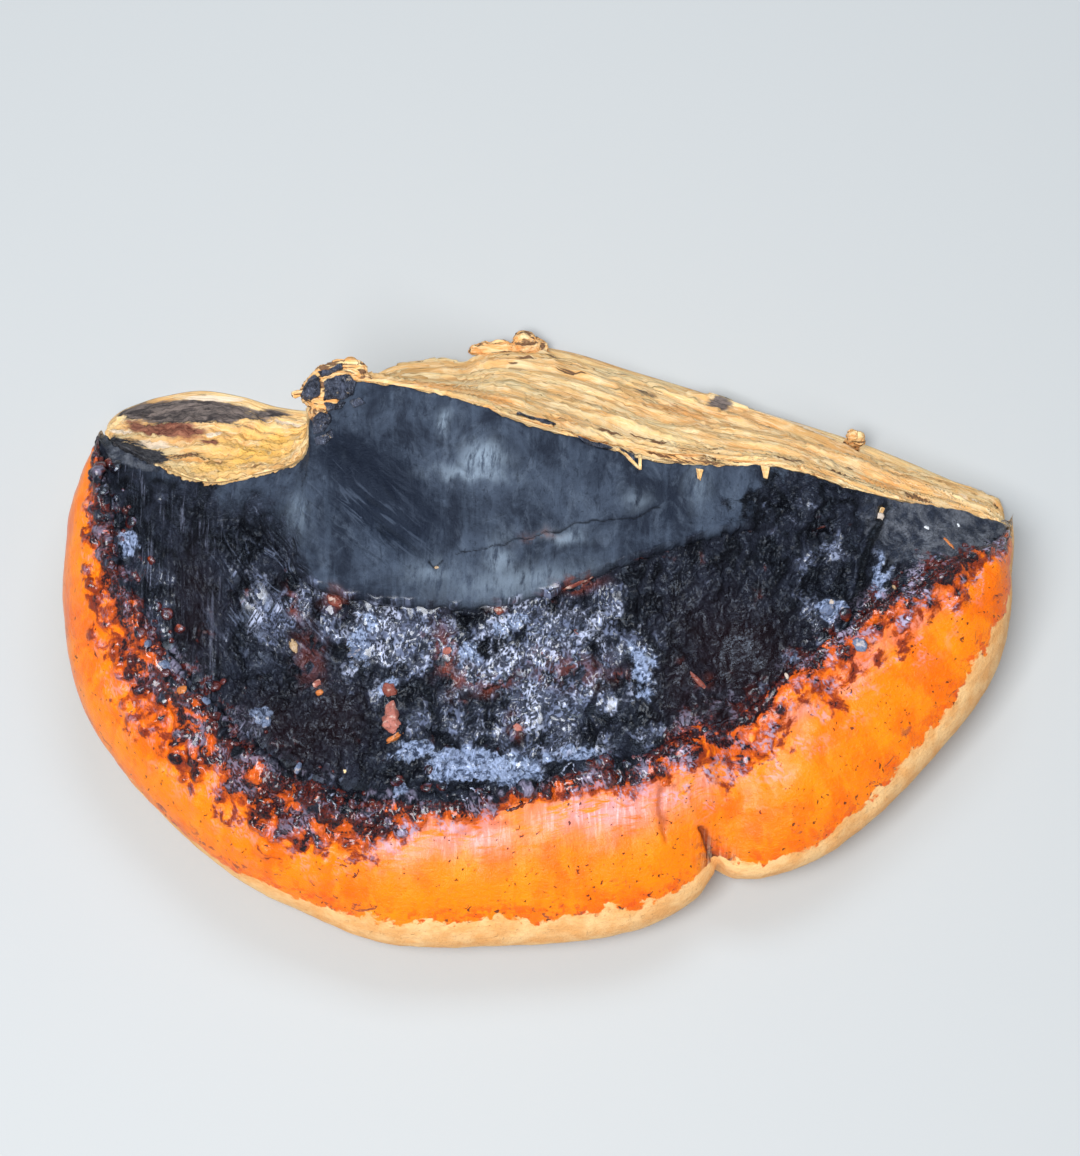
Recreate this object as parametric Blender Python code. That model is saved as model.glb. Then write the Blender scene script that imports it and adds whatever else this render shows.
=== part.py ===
# A red-belted conk, picked from its tree and lying on its pore face. It grew as one piece, so it is
# one solid. Its form is a loft through its growth lines: curves that all run from the left corner
# of the torn back, round the cap, to the right corner. Over the cap these are the torn edge of the
# crust, the edge of the old grey crust, the upper edge of the orange belt and the rim. Below them
# are the two edges of the flat pore face. +X is to the right, +Y towards the tree and +Z up. The
# origin is at the middle of the pore face.

import math

import bmesh
import bpy
import numpy as np
from mathutils import Euler, Matrix, Vector, noise

MM = 0.001

# The growth lines, in mm, from the left corner to the right one. Heights come from the crust
# where a line gives only x and y.
LEFT_CORNER, RIGHT_CORNER = (-106, 44, 17), (113.5, 25, 14)
TORN_EDGE = [
    (-105.5, 43.5, 25), (-103.5, 42, 31), (-99, 38, 35), (-86, 29.5, 38), (-76, 25.5, 40), (-66, 26.5, 42), (-56, 28, 46),
    (-51.5, 31.5, 51), (-50, 37, 57), (-44, 40.5, 61), (-31, 39.5, 63), (-17, 36, 63.5), (-4, 31, 62.5),
    (9, 28, 60), (23, 24.5, 57), (39, 24, 54), (55, 25, 51), (72, 22, 45), (84, 21, 40), (98, 21, 34),
    (109, 20.5, 29), (112, 22, 23),
]
OLD_CRUST_EDGE = [
    (-104, 40), (-98, 31), (-86, 21), (-76, 17), (-66, 15), (-58, 8), (-53, 1), (-45, -3), (-36, -5),
    (-26, -6), (-15, -6.5), (-4, -5), (8, -1), (19, 3), (31, 7), (45, 11), (60, 13), (76, 13), (90, 14),
    (102, 16), (109, 18),
]
BELT_EDGE = [
    (-105.5, 39), (-103.5, 28), (-100, 15), (-96, 1), (-89, -13), (-79, -26), (-66, -39), (-54, -47),
    (-42, -50.5), (-30, -51), (-15, -50.5), (0, -47), (12, -44), (25, -42), (34, -37), (43, -34),
    (51, -30), (60, -22), (71, -14), (83, -5), (96, 5), (106, 12), (110, 17),
]
RIM = [
    (-107, 38, 23), (-111, 29, 20), (-112.5, 17, 18), (-111.5, 0, 17), (-107, -20, 16), (-97, -36, 15),
    (-83, -51, 14), (-69, -62, 14), (-55, -69, 13), (-36, -76.5, 12), (-15, -77.5, 12), (14, -75.5, 12),
    (28, -71.5, 13), (36.5, -66.5, 14), (41.5, -60.5, 16), (46.5, -62, 15), (56, -61, 15), (67, -56, 15),
    (79, -47, 15), (91, -34.5, 16), (101, -23, 17), (108, -12, 18), (111, -1, 19), (111.5, 8, 20),
    (112.5, 17, 22),
]
BACK_FOOT = [
    (-107, 50), (-106, 55), (-103, 59), (-98.5, 62), (-93.5, 64), (-84, 66), (-74, 64.5), (-64, 61.5),
    (-54, 61), (-44, 66.5), (-34, 72.5), (-24, 75), (-18, 77), (-9, 79), (0, 78.5), (10, 76), (23, 71.5),
    (38, 66.5), (55, 60.5), (77, 53), (90, 47.5), (103, 40.5), (112, 33),
]
MIDDLE = Vector((0.5, 1.1, 0))  # the place that becomes the origin
UNDER_ROLL = 13  # how far inside the rim the pore face starts
UNDER_HEART = (0, 10)  # the point that the rim rolls in towards
CORNER_SHARE = 0.12  # share of the way round over which the roll fades out at each corner

# The crust above the rolled rim: a plate that rises gently to the back, and the hump on it.
PLATE_HEIGHT, PLATE_SLOPE = 38, 0.09
HUMP_TOP, HUMP_HEIGHT = (-22, 42), 22
HUMP_LEFT, HUMP_RIGHT, HUMP_FRONT = 36, 92, 44

# Steps across the growth lines. The old crust ends in a ledge, and the black crust in a thick lip
# above the belt. LEDGE_FROM to LEDGE_TO is the share of the way round where the ledge shows.
LEDGE, LEDGE_SPREAD = 3.4, 0.10
LEDGE_FROM, LEDGE_TO = 0.22, 0.76
LIP, LIP_SPREAD = 2.2, 0.16
TORN_REACH = 14  # how far from the torn edge the crust bends to meet it

# The hollow in the old crust, and the valley that runs in from the cleft between the two lobes.
HOLLOW_AT, HOLLOW_SIZE, HOLLOW_TURN, HOLLOW_DEPTH = (-35, 17), (17, 9.5), math.radians(-38), 6.0
VALLEY = [(42, -61), (46, -48), (48, -38), (45, -27), (36, -12)]
VALLEY_WIDTH, VALLEY_DEPTH = 9, 6.0

# Lumps of the black crust, waves of the whole cap and splinters of the torn back: how long each
# kind is, and how far it stands out.
LUMP_SIZE, LUMP_RELIEF = 10, 2.0
WAVE_SIZE, WAVE_RELIEF = 38, 1.6
SPLINTER_SIZE, SPLINTER_RELIEF = (30, 6), 2.2
SCOOP_RIGHT, SCOOP_DEPTH = -48, 5.0  # the back is hollowed out to the left of this
TORN_OUTWARDS = Vector((0, 0.8, 0.6))

# Where the surface swells away from a point inside: under the flap of crust that curls over the back
# edge of the hump, and at a knot of flesh at the foot of the torn back. Centre, reach and strength.
SWELLINGS = [
    (Vector((-43, 37, 52)), 9, 0.5),
    (Vector((-8, 70, 3)), 10, 0.55),
]

# Scraps that stand up from the torn back: centre, half sizes and turn about X, Y and Z in degrees.
SCRAPS = {
    "crust_flap": (Vector((-46.5, 41.5, 59)), (10, 6.5, 5.6), (-18, -8, 12)),
    "flesh_peg": (Vector((77, 49.5, 6.5)), (3.0, 2.8, 6.0), (-12, 0, 0)),
}
SCRAP_LUMPS, SCRAP_ROUGHNESS = 1.2, 0.35
SCRAP_CLEARANCE = 1.0  # how high they end above the ground

# The mesh: columns from corner to corner, and points across each strip between two growth lines.
COLUMNS = 112
STRIPS = {"old_crust": 9, "black_crust": 9, "belt": 8, "under_roll": 5, "pore_face": 2, "torn_back": 8}
SHARP_ANGLE = math.radians(50)

# What covers each strip: colour and roughness.
FINISHES = {
    "grey_crust": ((0.12, 0.15, 0.19), 0.55),
    "black_resin": ((0.03, 0.03, 0.04), 0.30),
    "orange_lacquer": ((0.86, 0.20, 0.01), 0.25),
    "cream_margin": ((0.90, 0.60, 0.26), 0.60),
    "cream_pores": ((0.86, 0.62, 0.32), 0.75),
    "torn_flesh": ((0.80, 0.55, 0.24), 0.80),
}


def smooth_step(low, high, value):
    t = min(max((value - low) / (high - low), 0.0), 1.0)
    return t * t * (3 - 2 * t)


def evenly_along(points):
    """COLUMNS - 1 points, evenly spaced along the smooth curve from corner to corner through these."""
    width = len(points[0])
    rows = np.array([LEFT_CORNER[:width], *points, RIGHT_CORNER[:width]], float)
    rows = np.vstack([2 * rows[0] - rows[1], rows, 2 * rows[-1] - rows[-2]])
    a, b, c, d = (rows[i : len(rows) - 3 + i, None] for i in range(4))
    t = np.linspace(0, 1, 16, endpoint=False)[None, :, None]
    curve = 0.5 * (2 * b + (c - a) * t + (2 * a - 5 * b + 4 * c - d) * t**2 + (3 * (b - c) + d - a) * t**3)
    curve = np.vstack([curve.reshape(-1, width), rows[-2:-1]])
    steps = np.linalg.norm(np.diff(curve[:, :2], axis=0), axis=1)
    along = np.concatenate([[0], np.cumsum(steps)]) / steps.sum()
    wanted = np.arange(1, COLUMNS) / COLUMNS
    return [Vector([np.interp(share, along, column) for column in curve.T]) for share in wanted]


def distance_to_line(x, y, points):
    """How far a place is from a line of points, and how far along it the nearest place is, 0 to 1."""
    nearest = (1e9, 0.0)
    for i, ((ax, ay), (bx, by)) in enumerate(zip(points, points[1:])):
        run, rise = bx - ax, by - ay
        t = min(max(((x - ax) * run + (y - ay) * rise) / (run * run + rise * rise), 0.0), 1.0)
        gap = math.hypot(x - ax - t * run, y - ay - t * rise)
        nearest = min(nearest, (gap, (i + t) / (len(points) - 1)))
    return nearest


def soft_noise(x, y, z, size):
    return noise.noise(Vector((x / size, y / size, z)))


def crust_height(x, y):
    """Height of the crust over this place, without its ledges and before its edge rolls down."""
    side = HUMP_LEFT if x < HUMP_TOP[0] else HUMP_RIGHT
    away = ((x - HUMP_TOP[0]) / side) ** 2 + ((y - HUMP_TOP[1]) / HUMP_FRONT) ** 2
    height = PLATE_HEIGHT + PLATE_SLOPE * y + HUMP_HEIGHT * math.exp(-away)

    dx, dy = x - HOLLOW_AT[0], y - HOLLOW_AT[1]
    long = (dx * math.cos(HOLLOW_TURN) + dy * math.sin(HOLLOW_TURN)) / HOLLOW_SIZE[0]
    wide = (dy * math.cos(HOLLOW_TURN) - dx * math.sin(HOLLOW_TURN)) / HOLLOW_SIZE[1]
    height -= HOLLOW_DEPTH * math.exp(-long * long - wide * wide)

    gap, share = distance_to_line(x, y, VALLEY)
    height -= VALLEY_DEPTH * (1 - 0.8 * share) * math.exp(-((gap / VALLEY_WIDTH) ** 2))
    return height + WAVE_RELIEF * soft_noise(x, y, 7.0, WAVE_SIZE)


def cap_point(lines, round_share, strip, share):
    """A point of the cap, from the strip that it is in and how far it is across that strip."""
    torn, old, belt, rim = lines[:4]
    start, end = {"old_crust": (torn, old), "black_crust": (old, belt), "belt": (belt, rim)}[strip]
    if strip == "belt":
        share = math.sin(share * math.pi / 2)
    x, y = Vector(start[:2]).lerp(Vector(end[:2]), share)
    height = crust_height(x, y)
    gap = math.hypot(x - torn.x, y - torn.y)

    shows = smooth_step(LEDGE_FROM - 0.04, LEDGE_FROM, round_share)
    shows *= smooth_step(LEDGE_TO + 0.04, LEDGE_TO, round_share)
    lumpy = 1.0
    height += (torn.z - crust_height(torn.x, torn.y)) * math.exp(-((gap / TORN_REACH) ** 2))
    if strip == "old_crust":
        height += LEDGE * shows * share**2
        lumpy = smooth_step(0.8, 1.0, share) * 0.4 + 0.1
    if strip == "black_crust":
        height += LEDGE * shows * smooth_step(LEDGE_SPREAD, 0, share)
        height += LIP * smooth_step(1 - LIP_SPREAD, 1, share)
    if strip == "belt":
        height += LIP * smooth_step(0.25, 0, share)
        lumpy = smooth_step(0.8, 0.1, share)
    height += LUMP_RELIEF * lumpy * soft_noise(x, y, 3.0, LUMP_SIZE)

    roll = (Vector(belt[:2]) - Vector(rim[:2])).length
    inward = (Vector((x, y)) - Vector(rim[:2])).length
    rise = math.sqrt(1 - (1 - min(inward / roll, 1.0)) ** 2)
    return Vector((x, y, rim.z + (height - rim.z) * rise))


def pore_face_edge(rim, round_share):
    """The place on the front edge of the pore face that belongs to this place on the rim."""
    from_corner = smooth_step(0, CORNER_SHARE, min(round_share, 1 - round_share))
    inward = (Vector(UNDER_HEART) - rim.xy).normalized()
    return rim.xy + inward * UNDER_ROLL * from_corner


def section_point(lines, round_share, strip, share):
    """A point of the section through one column. Each strip runs on from the end of the one before."""
    torn, _, _, rim, rim_foot, back_foot = lines
    front, back = Vector((*rim_foot[:2], 0)), Vector((*back_foot[:2], 0))
    if strip == "under_roll":
        turn = share * math.pi / 2
        inset = 1 - math.cos(turn)
        return Vector((*Vector(rim[:2]).lerp(front.xy, inset), rim.z * (1 - math.sin(turn))))
    if strip == "pore_face":
        return front.lerp(back, share)
    if strip == "torn_back":
        share = (1 - math.cos(math.pi * share)) / 2
        point = back.lerp(torn, share)
        long, wide = SPLINTER_SIZE
        grain = noise.noise(Vector((point.x / long, point.y / wide, point.z / wide)))
        scoop = SCOOP_DEPTH * smooth_step(SCOOP_RIGHT, SCOOP_RIGHT - 14, point.x)
        return point + TORN_OUTWARDS * math.sin(math.pi * share) * (SPLINTER_RELIEF * grain - scoop)
    return cap_point(lines, round_share, strip, share)


def swell(point):
    """Where a point of the surface ends up after the swellings."""
    for centre, reach, strength in SWELLINGS:
        away = point - centre
        point = point + away * strength * math.exp(-((away.length / reach) ** 2))
    return point


def material(name, colour, roughness):
    made = bpy.data.materials.new(name)
    made.use_nodes = True
    shader = made.node_tree.nodes["Principled BSDF"]
    shader.inputs["Base Color"].default_value = (*colour, 1)
    shader.inputs["Roughness"].default_value = roughness
    shader.inputs["Metallic"].default_value = 0
    return made


def new_object(name, form, collection):
    """A smooth-shaded object that holds this bmesh, with every finish in its slots."""
    bmesh.ops.recalc_face_normals(form, faces=form.faces)
    mesh = bpy.data.meshes.new(name)
    form.to_mesh(mesh)
    form.free()
    mesh.shade_smooth()
    mesh.set_sharp_from_angle(angle=SHARP_ANGLE)
    for finish in FINISHES:
        mesh.materials.append(bpy.data.materials.get(finish) or material(finish, *FINISHES[finish]))
    made = bpy.data.objects.new(name, mesh)
    collection.objects.link(made)
    return made


def make_conk(collection):
    """A sphere with its poles at the two corners, whose circles are laid on the sections of the conk."""
    lines = [evenly_along(line) for line in (TORN_EDGE, OLD_CRUST_EDGE, BELT_EDGE, RIM)]
    lines.append([pore_face_edge(point, i / COLUMNS) for i, point in enumerate(lines[3], 1)])
    lines.append(evenly_along(BACK_FOOT))
    stops = [(strip, step / count, i) for i, (strip, count) in enumerate(STRIPS.items())
             for step in range(count)]

    form = bmesh.new()
    bmesh.ops.create_uvsphere(
        form, u_segments=len(stops), v_segments=COLUMNS, radius=1, matrix=Matrix.Rotation(-math.pi / 2, 4, "Y")
    )
    column_of = {}
    for point in form.verts:
        column = round(math.acos(min(max(-point.co.x, -1), 1)) / math.pi * COLUMNS)
        stop = round(math.atan2(point.co.z, point.co.y) / math.tau * len(stops)) % len(stops)
        column_of[point] = (column, stop)
    for face in form.faces:
        around = [column_of[point][1] for point in face.verts if 0 < column_of[point][0] < COLUMNS]
        first = max(around) if max(around) - min(around) > 1 else min(around)
        face.material_index = stops[first][2]
    for point, (column, stop) in column_of.items():
        strip, share, _ = stops[stop]
        if column == 0:
            place = Vector(LEFT_CORNER)
        elif column == COLUMNS:
            place = Vector(RIGHT_CORNER)
        else:
            place = section_point([line[column - 1] for line in lines], column / COLUMNS, strip, share)
            if place.z > 0:
                place = swell(place)
        point.co = (place - MIDDLE) * MM
    return new_object("conk", form, collection)


def make_scrap(name, collection):
    """A rough lump of torn crust or flesh, which is joined to the conk."""
    centre, half_sizes, turn = SCRAPS[name]
    form = bmesh.new()
    bmesh.ops.create_uvsphere(form, u_segments=16, v_segments=10, radius=1)
    for point in form.verts:
        point.co *= 1 + SCRAP_ROUGHNESS * noise.noise(point.co * SCRAP_LUMPS + centre)
        point.co = Vector(a * b for a, b in zip(point.co, half_sizes))
        point.co.rotate(Euler([math.radians(angle) for angle in turn]))
        point.co = (point.co + centre - MIDDLE) * MM
        point.co.z = max(point.co.z, SCRAP_CLEARANCE * MM)
    for face in form.faces:
        face.material_index = list(FINISHES).index("torn_flesh")
    scrap = new_object(name, form, collection)
    scrap.hide_render = True
    scrap.display_type = "WIRE"
    return scrap


def collection_named(name):
    made = bpy.data.collections.new(name)
    bpy.context.scene.collection.children.link(made)
    return made


def main():
    for old in list(bpy.data.objects):
        bpy.data.objects.remove(old)
    conk = make_conk(collection_named("red_belted_conk"))
    scraps = collection_named("scraps_to_join")
    for name in SCRAPS:
        join = conk.modifiers.new(f"join_{name}", "BOOLEAN")
        join.operation = "UNION"
        join.object = make_scrap(name, scraps)


main()
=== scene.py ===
# A red-belted conk, picked from its tree and lying on its pore face. The script follows the conk from
# the inside out: the flesh with its torn back and its pores, the old grey crust, the black resin crust,
# the orange belt with its cream margin, and then the small things that stand on them.
import math

import bmesh
import bpy
import numpy as np
from mathutils import Euler, Matrix, Vector, noise
from mathutils.bvhtree import BVHTree


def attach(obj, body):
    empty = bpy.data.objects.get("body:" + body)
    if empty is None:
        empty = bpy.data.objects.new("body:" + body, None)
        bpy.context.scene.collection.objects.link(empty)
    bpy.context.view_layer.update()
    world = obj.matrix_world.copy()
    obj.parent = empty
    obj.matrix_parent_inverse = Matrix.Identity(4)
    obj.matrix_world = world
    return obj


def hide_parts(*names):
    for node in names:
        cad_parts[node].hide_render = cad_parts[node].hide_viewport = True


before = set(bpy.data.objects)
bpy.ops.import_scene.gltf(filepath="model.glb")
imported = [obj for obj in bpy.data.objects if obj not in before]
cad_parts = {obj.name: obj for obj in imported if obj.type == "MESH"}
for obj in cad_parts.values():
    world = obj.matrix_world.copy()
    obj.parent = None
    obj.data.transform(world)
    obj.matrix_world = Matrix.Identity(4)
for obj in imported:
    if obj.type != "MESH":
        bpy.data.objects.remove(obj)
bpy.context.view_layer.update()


# The flesh: corky tan tissue, grown in one piece. The cap was torn from its tree along the sloping
# back, and the flat underside is its pore layer. It is a loft through the growth lines of the conk,
# which all run from the left corner of the tear, round the cap, to the right corner.
MM = 0.001
MIDDLE = np.array([0.5, 1.1, 0])
# The growth lines in mm, from left to right: x, y, and the height where a line has its own.
LEFT_CORNER, RIGHT_CORNER = (-104.2, 45.6, 18), (113.2, 25.6, 18)
TORN_EDGE = [
    (-104.2, 45, 21.5), (-102.6, 43, 26), (-99, 38, 33), (-86, 29.5, 38), (-76, 25.5, 40), (-66, 26.5, 42),
    (-56, 28, 46), (-51.5, 31.5, 51), (-50, 37, 57), (-44, 40.5, 61), (-31, 39.5, 63), (-17, 36, 63.5),
    (-4, 31, 62.5), (9, 28, 60), (23, 24.5, 57), (39, 24, 54), (55, 25, 51), (72, 22, 45), (84, 21, 40),
    (98, 21, 34), (108.5, 20, 28.5), (112, 21, 22.5),
]
OLD_CRUST_EDGE = [
    (-104, 40), (-98, 31), (-86, 21), (-76, 17), (-66, 15), (-58, 8), (-53, 1), (-45, -3), (-36, -5),
    (-26, -6), (-15, -6.5), (-4, -5), (8, -1), (19, 3), (31, 7), (45, 11), (60, 13), (76, 13), (90, 14),
    (102, 16), (109, 18),
]
BELT_EDGE = [
    (-104.0, 39), (-102.4, 28), (-100, 15), (-96, 1), (-89, -13), (-79, -26), (-66, -39), (-54, -47),
    (-42, -50.5), (-30, -51), (-15, -50.5), (0, -47), (12, -44), (25, -42), (34, -37), (43, -34),
    (51, -30), (60, -22), (71, -14), (83, -5), (96, 5), (106, 12), (110, 17),
]
RIM = [
    (-106.2, 39, 22), (-109.3, 29.3, 20), (-111.5, 18.5, 18), (-111.5, 0, 17), (-107, -20, 16),
    (-97, -36, 15), (-83, -51, 14), (-69, -62, 14), (-55, -69, 13), (-36, -76.5, 12), (-15, -77.5, 12),
    (14, -75.5, 12), (28, -71.5, 13), (36.5, -66.5, 14), (41.5, -60.5, 16), (46.5, -62, 15), (56, -61, 15),
    (67, -56, 15), (79, -47, 15), (91, -34.5, 16), (101, -23, 17), (108, -12, 18), (111, -1, 19),
    (111.5, 8, 20), (112.5, 17, 22),
]
BACK_FOOT = [
    (-106, 53.5), (-106.6, 57), (-103.6, 60.4), (-98.5, 62.8), (-93.5, 64.4), (-84, 66), (-74, 64.5),
    (-64, 61.5), (-54, 61), (-44, 66.5), (-34, 72), (-24, 73.4), (-17, 74), (-9, 78), (0, 78), (10, 76),
    (23, 71.5), (38, 66.5), (55, 60.5), (77, 53), (90, 47.5), (103, 41.4), (110, 38.4), (113, 35.4),
]
# The rim rolls in below its widest line. The cap rises towards the back, with a hump there, a hollow
# in front of the hump and a valley down to the cleft in the rim. The old crust ends in a ledge.
UNDER_ROLL, UNDER_HEART, CORNER_SHARE = 13, (0, 10), 0.12
PLATE_HEIGHT, PLATE_SLOPE = 38, 0.09
HUMP_TOP, HUMP_HEIGHT = (-22, 42), 22
HUMP_LEFT, HUMP_RIGHT, HUMP_FRONT = 36, 92, 44
LEDGE, LEDGE_FROM, LEDGE_TO = 3.4, 0.31, 0.70
LIP, LIP_SPREAD, TORN_REACH = 2.2, 0.16, 14
HOLLOW_AT, HOLLOW_SIZE, HOLLOW_TURN, HOLLOW_DEPTH = (-35, 17), (17, 9.5), math.radians(-38), 6.0
VALLEY = [(42, -61), (46, -48), (48, -38), (45, -27), (36, -12)]
VALLEY_WIDTH, VALLEY_DEPTH = 9, 6.0
LUMP_SIZE, LUMP_RELIEF, WAVE_SIZE, WAVE_RELIEF = 10, 2.0, 38, 1.6
CORNER_REACH = 0.05
# Middle, reach and strength of each swelling.
SWELLINGS = [(np.array([-43, 37, 52]), 9, 0.5), (np.array([-6, 71, 3]), 7, 0.3)]
SCOOP_RIGHT, SCOOP_FADE, SCOOP_LEFT, SCOOP_DEPTH = -48, 14, (-106, -92), 5.0
TORN_OUTWARDS = np.array([0, 0.8, 0.6])
# What is stored on the pieces as a vector, not as one number.
VECTORS = ("grain", "growth", "comb", "tint")


def smooth_step(low, high, value):
    t = np.clip((value - low) / (high - low), 0, 1)
    return t * t * (3 - 2 * t)


def soft_noise(x, y, z, size):
    """Noise from -1 to 1 over a grid of places, with lumps of this size."""
    places = np.stack(np.broadcast_arrays(x / size, y / size, z), -1).reshape(-1, 3)
    return np.array([noise.noise(place) for place in places.tolist()]).reshape(np.shape(x))


def line_at(points, shares):
    """Places on the smooth curve from corner to corner through these points, at shares of its length."""
    width = len(points[0])
    rows = np.array([LEFT_CORNER[:width], *points, RIGHT_CORNER[:width]], float)
    rows = np.vstack([2 * rows[0] - rows[1], rows, 2 * rows[-1] - rows[-2]])
    a, b, c, d = (rows[i : len(rows) - 3 + i, None] for i in range(4))
    t = np.linspace(0, 1, 60, endpoint=False)[None, :, None]
    curve = 0.5 * (2 * b + (c - a) * t + (2 * a - 5 * b + 4 * c - d) * t**2 + (3 * (b - c) + d - a) * t**3)
    curve = np.vstack([curve.reshape(-1, width), rows[-2:-1]])
    steps = np.linalg.norm(np.diff(curve[:, :2], axis=0), axis=1)
    along = np.concatenate([[0], np.cumsum(steps)]) / steps.sum()
    return np.stack([np.interp(shares, along, column) for column in curve.T], -1)


def distance_to_line(x, y, points):
    """How far places are from a line of points, and how far along it the nearest place is, 0 to 1."""
    gap, share = np.full(np.shape(x), 1e9), np.zeros(np.shape(x))
    for i, ((ax, ay), (bx, by)) in enumerate(zip(points, points[1:])):
        run, rise = bx - ax, by - ay
        t = np.clip(((x - ax) * run + (y - ay) * rise) / (run * run + rise * rise), 0, 1)
        here = np.hypot(x - ax - t * run, y - ay - t * rise)
        share = np.where(here < gap, (i + t) / (len(points) - 1), share)
        gap = np.minimum(here, gap)
    return gap, share


def crust_height(x, y):
    """Height of the crust over these places, without its ledges and before its edge rolls down."""
    side = np.where(x < HUMP_TOP[0], HUMP_LEFT, HUMP_RIGHT)
    away = ((x - HUMP_TOP[0]) / side) ** 2 + ((y - HUMP_TOP[1]) / HUMP_FRONT) ** 2
    dx, dy = x - HOLLOW_AT[0], y - HOLLOW_AT[1]
    long = (dx * math.cos(HOLLOW_TURN) + dy * math.sin(HOLLOW_TURN)) / HOLLOW_SIZE[0]
    wide = (dy * math.cos(HOLLOW_TURN) - dx * math.sin(HOLLOW_TURN)) / HOLLOW_SIZE[1]
    gap, share = distance_to_line(x, y, VALLEY)
    height = PLATE_HEIGHT + PLATE_SLOPE * y + HUMP_HEIGHT * np.exp(-away)
    height -= HOLLOW_DEPTH * np.exp(-long * long - wide * wide)
    height -= VALLEY_DEPTH * (1 - 0.8 * share) * np.exp(-((gap / VALLEY_WIDTH) ** 2))
    return height + WAVE_RELIEF * soft_noise(x, y, 7.0, WAVE_SIZE)


def cap_places(shares, strip, across):
    """A grid of places on the cap: a row for each share of the way round, a column for each step across."""
    lines = (TORN_EDGE, OLD_CRUST_EDGE, BELT_EDGE, RIM)
    torn, old, belt, rim = (line_at(line, shares)[:, None] for line in lines)
    start, end = {"old": (torn, old), "black": (old, belt), "belt": (belt, rim)}[strip]
    across = np.broadcast_to(across, (len(shares), np.shape(across)[-1]))
    if strip == "belt":
        across = np.sin(across * math.pi / 2)
    plan = start[..., :2] + (end[..., :2] - start[..., :2]) * across[..., None]
    x, y = plan[..., 0], plan[..., 1]
    tear = np.hypot(x - torn[..., 0], y - torn[..., 1])
    height = crust_height(x, y)
    height += (torn[..., 2] - crust_height(torn[..., 0], torn[..., 1])) * np.exp(-((tear / TORN_REACH) ** 2))
    lumpy = np.ones_like(x)
    if strip == "old":
        height += LEDGE * ledge_shows(shares)[:, None] * np.clip(across, 0, 1) ** 2
        lumpy = smooth_step(0.8, 1.0, across) * 0.4 + 0.1
    if strip == "black":
        height += LIP * smooth_step(1 - LIP_SPREAD, 1, across)
        lumpy = 0.5 + 0.5 * smooth_step(0, 0.1, across)
    if strip == "belt":
        height += LIP * smooth_step(0.25, 0, across)
        lumpy = smooth_step(0.8, 0.1, across)
    height += LUMP_RELIEF * lumpy * soft_noise(x, y, 3.0, LUMP_SIZE)
    roll = np.linalg.norm(belt[..., :2] - rim[..., :2], axis=-1)
    inward = np.clip(np.linalg.norm(plan - rim[..., :2], axis=-1) / roll, 0, 1)
    rise = np.sqrt(1 - (1 - inward) ** 2)
    return np.stack([x, y, rim[..., 2] + (height - rim[..., 2]) * rise], -1)


def ledge_shows(shares):
    """How far the old crust's ledge stands out, from 0 to 1. It sinks away near both corners."""
    shows = smooth_step(LEDGE_FROM - 0.04, LEDGE_FROM, shares)
    return shows * smooth_step(LEDGE_TO + 0.04, LEDGE_TO, shares)


def under_roll_places(shares, across):
    """The side of the rim below its widest line, down to the pore face."""
    rim = line_at(RIM, shares)[:, None]
    corner = smooth_step(0, CORNER_SHARE, np.minimum(shares, 1 - shares))[:, None, None]
    inward = np.array(UNDER_HEART) - rim[..., :2]
    foot = rim[..., :2] + inward / np.linalg.norm(inward, axis=-1, keepdims=True) * UNDER_ROLL * corner
    turn = across * math.pi / 2
    plan = rim[..., :2] + (foot - rim[..., :2]) * (1 - np.cos(turn))[..., None]
    return np.concatenate([plan, (rim[..., 2] * (1 - np.sin(turn)))[..., None]], -1)


def pore_face_places(shares, across):
    front = under_roll_places(shares, np.array([1.0]))
    back = line_at(BACK_FOOT, shares)[:, None]
    plan = front[..., :2] + (back - front[..., :2]) * across[..., None]
    return np.concatenate([plan, np.zeros_like(plan[..., :1])], -1)


def torn_places(shares, across):
    """The torn back, from its foot up to the torn edge of the crust."""
    torn = line_at(TORN_EDGE, shares)[:, None]
    foot = np.concatenate([line_at(BACK_FOOT, shares), np.zeros((len(shares), 1))], -1)[:, None]
    places = foot + (torn - foot) * across[..., None]
    scoop = SCOOP_DEPTH * smooth_step(SCOOP_RIGHT, SCOOP_RIGHT - SCOOP_FADE, places[..., 0])
    scoop = scoop * smooth_step(*SCOOP_LEFT, places[..., 0])
    return places - TORN_OUTWARDS * (np.sin(math.pi * across) * scoop)[..., None]


def swollen(places):
    """The surface swells a little under the flap of crust and at the knot of flesh."""
    for centre, reach, strength in SWELLINGS:
        away = places - centre
        far = np.linalg.norm(away, axis=-1, keepdims=True)
        places = places + away * strength * np.exp(-((far / reach) ** 2)) * (places[..., 2:] > 0)
    return places


def outward(places):
    """The outward normals of a grid of places whose rows run to the right and columns run rimwards."""
    along, across = np.gradient(places, axis=0), np.gradient(places, axis=1)
    normal = np.cross(across, along)
    return normal / np.maximum(np.linalg.norm(normal, axis=-1, keepdims=True), 1e-9)


def near_corners(shares):
    """Falls from 1 to 0 over the last stretch before each corner."""
    return smooth_step(0, CORNER_REACH, np.minimum(shares, 1 - shares))


def linked(name, data):
    """A new object of the scene."""
    made = bpy.data.objects.new(name, data)
    bpy.context.scene.collection.objects.link(made)
    return made


def shaped(name, form):
    """The smooth mesh of a bmesh form, which ends here."""
    mesh = bpy.data.meshes.new(name)
    form.to_mesh(mesh)
    form.free()
    mesh.shade_smooth()
    return mesh


def store(mesh, key, values):
    """Stores a number or a vector on each point of a mesh."""
    kind, slot = ("FLOAT_VECTOR", "vector") if values.ndim == 2 else ("FLOAT", "value")
    mesh.attributes.new(key, kind, "POINT").data.foreach_set(slot, values.ravel())


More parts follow.
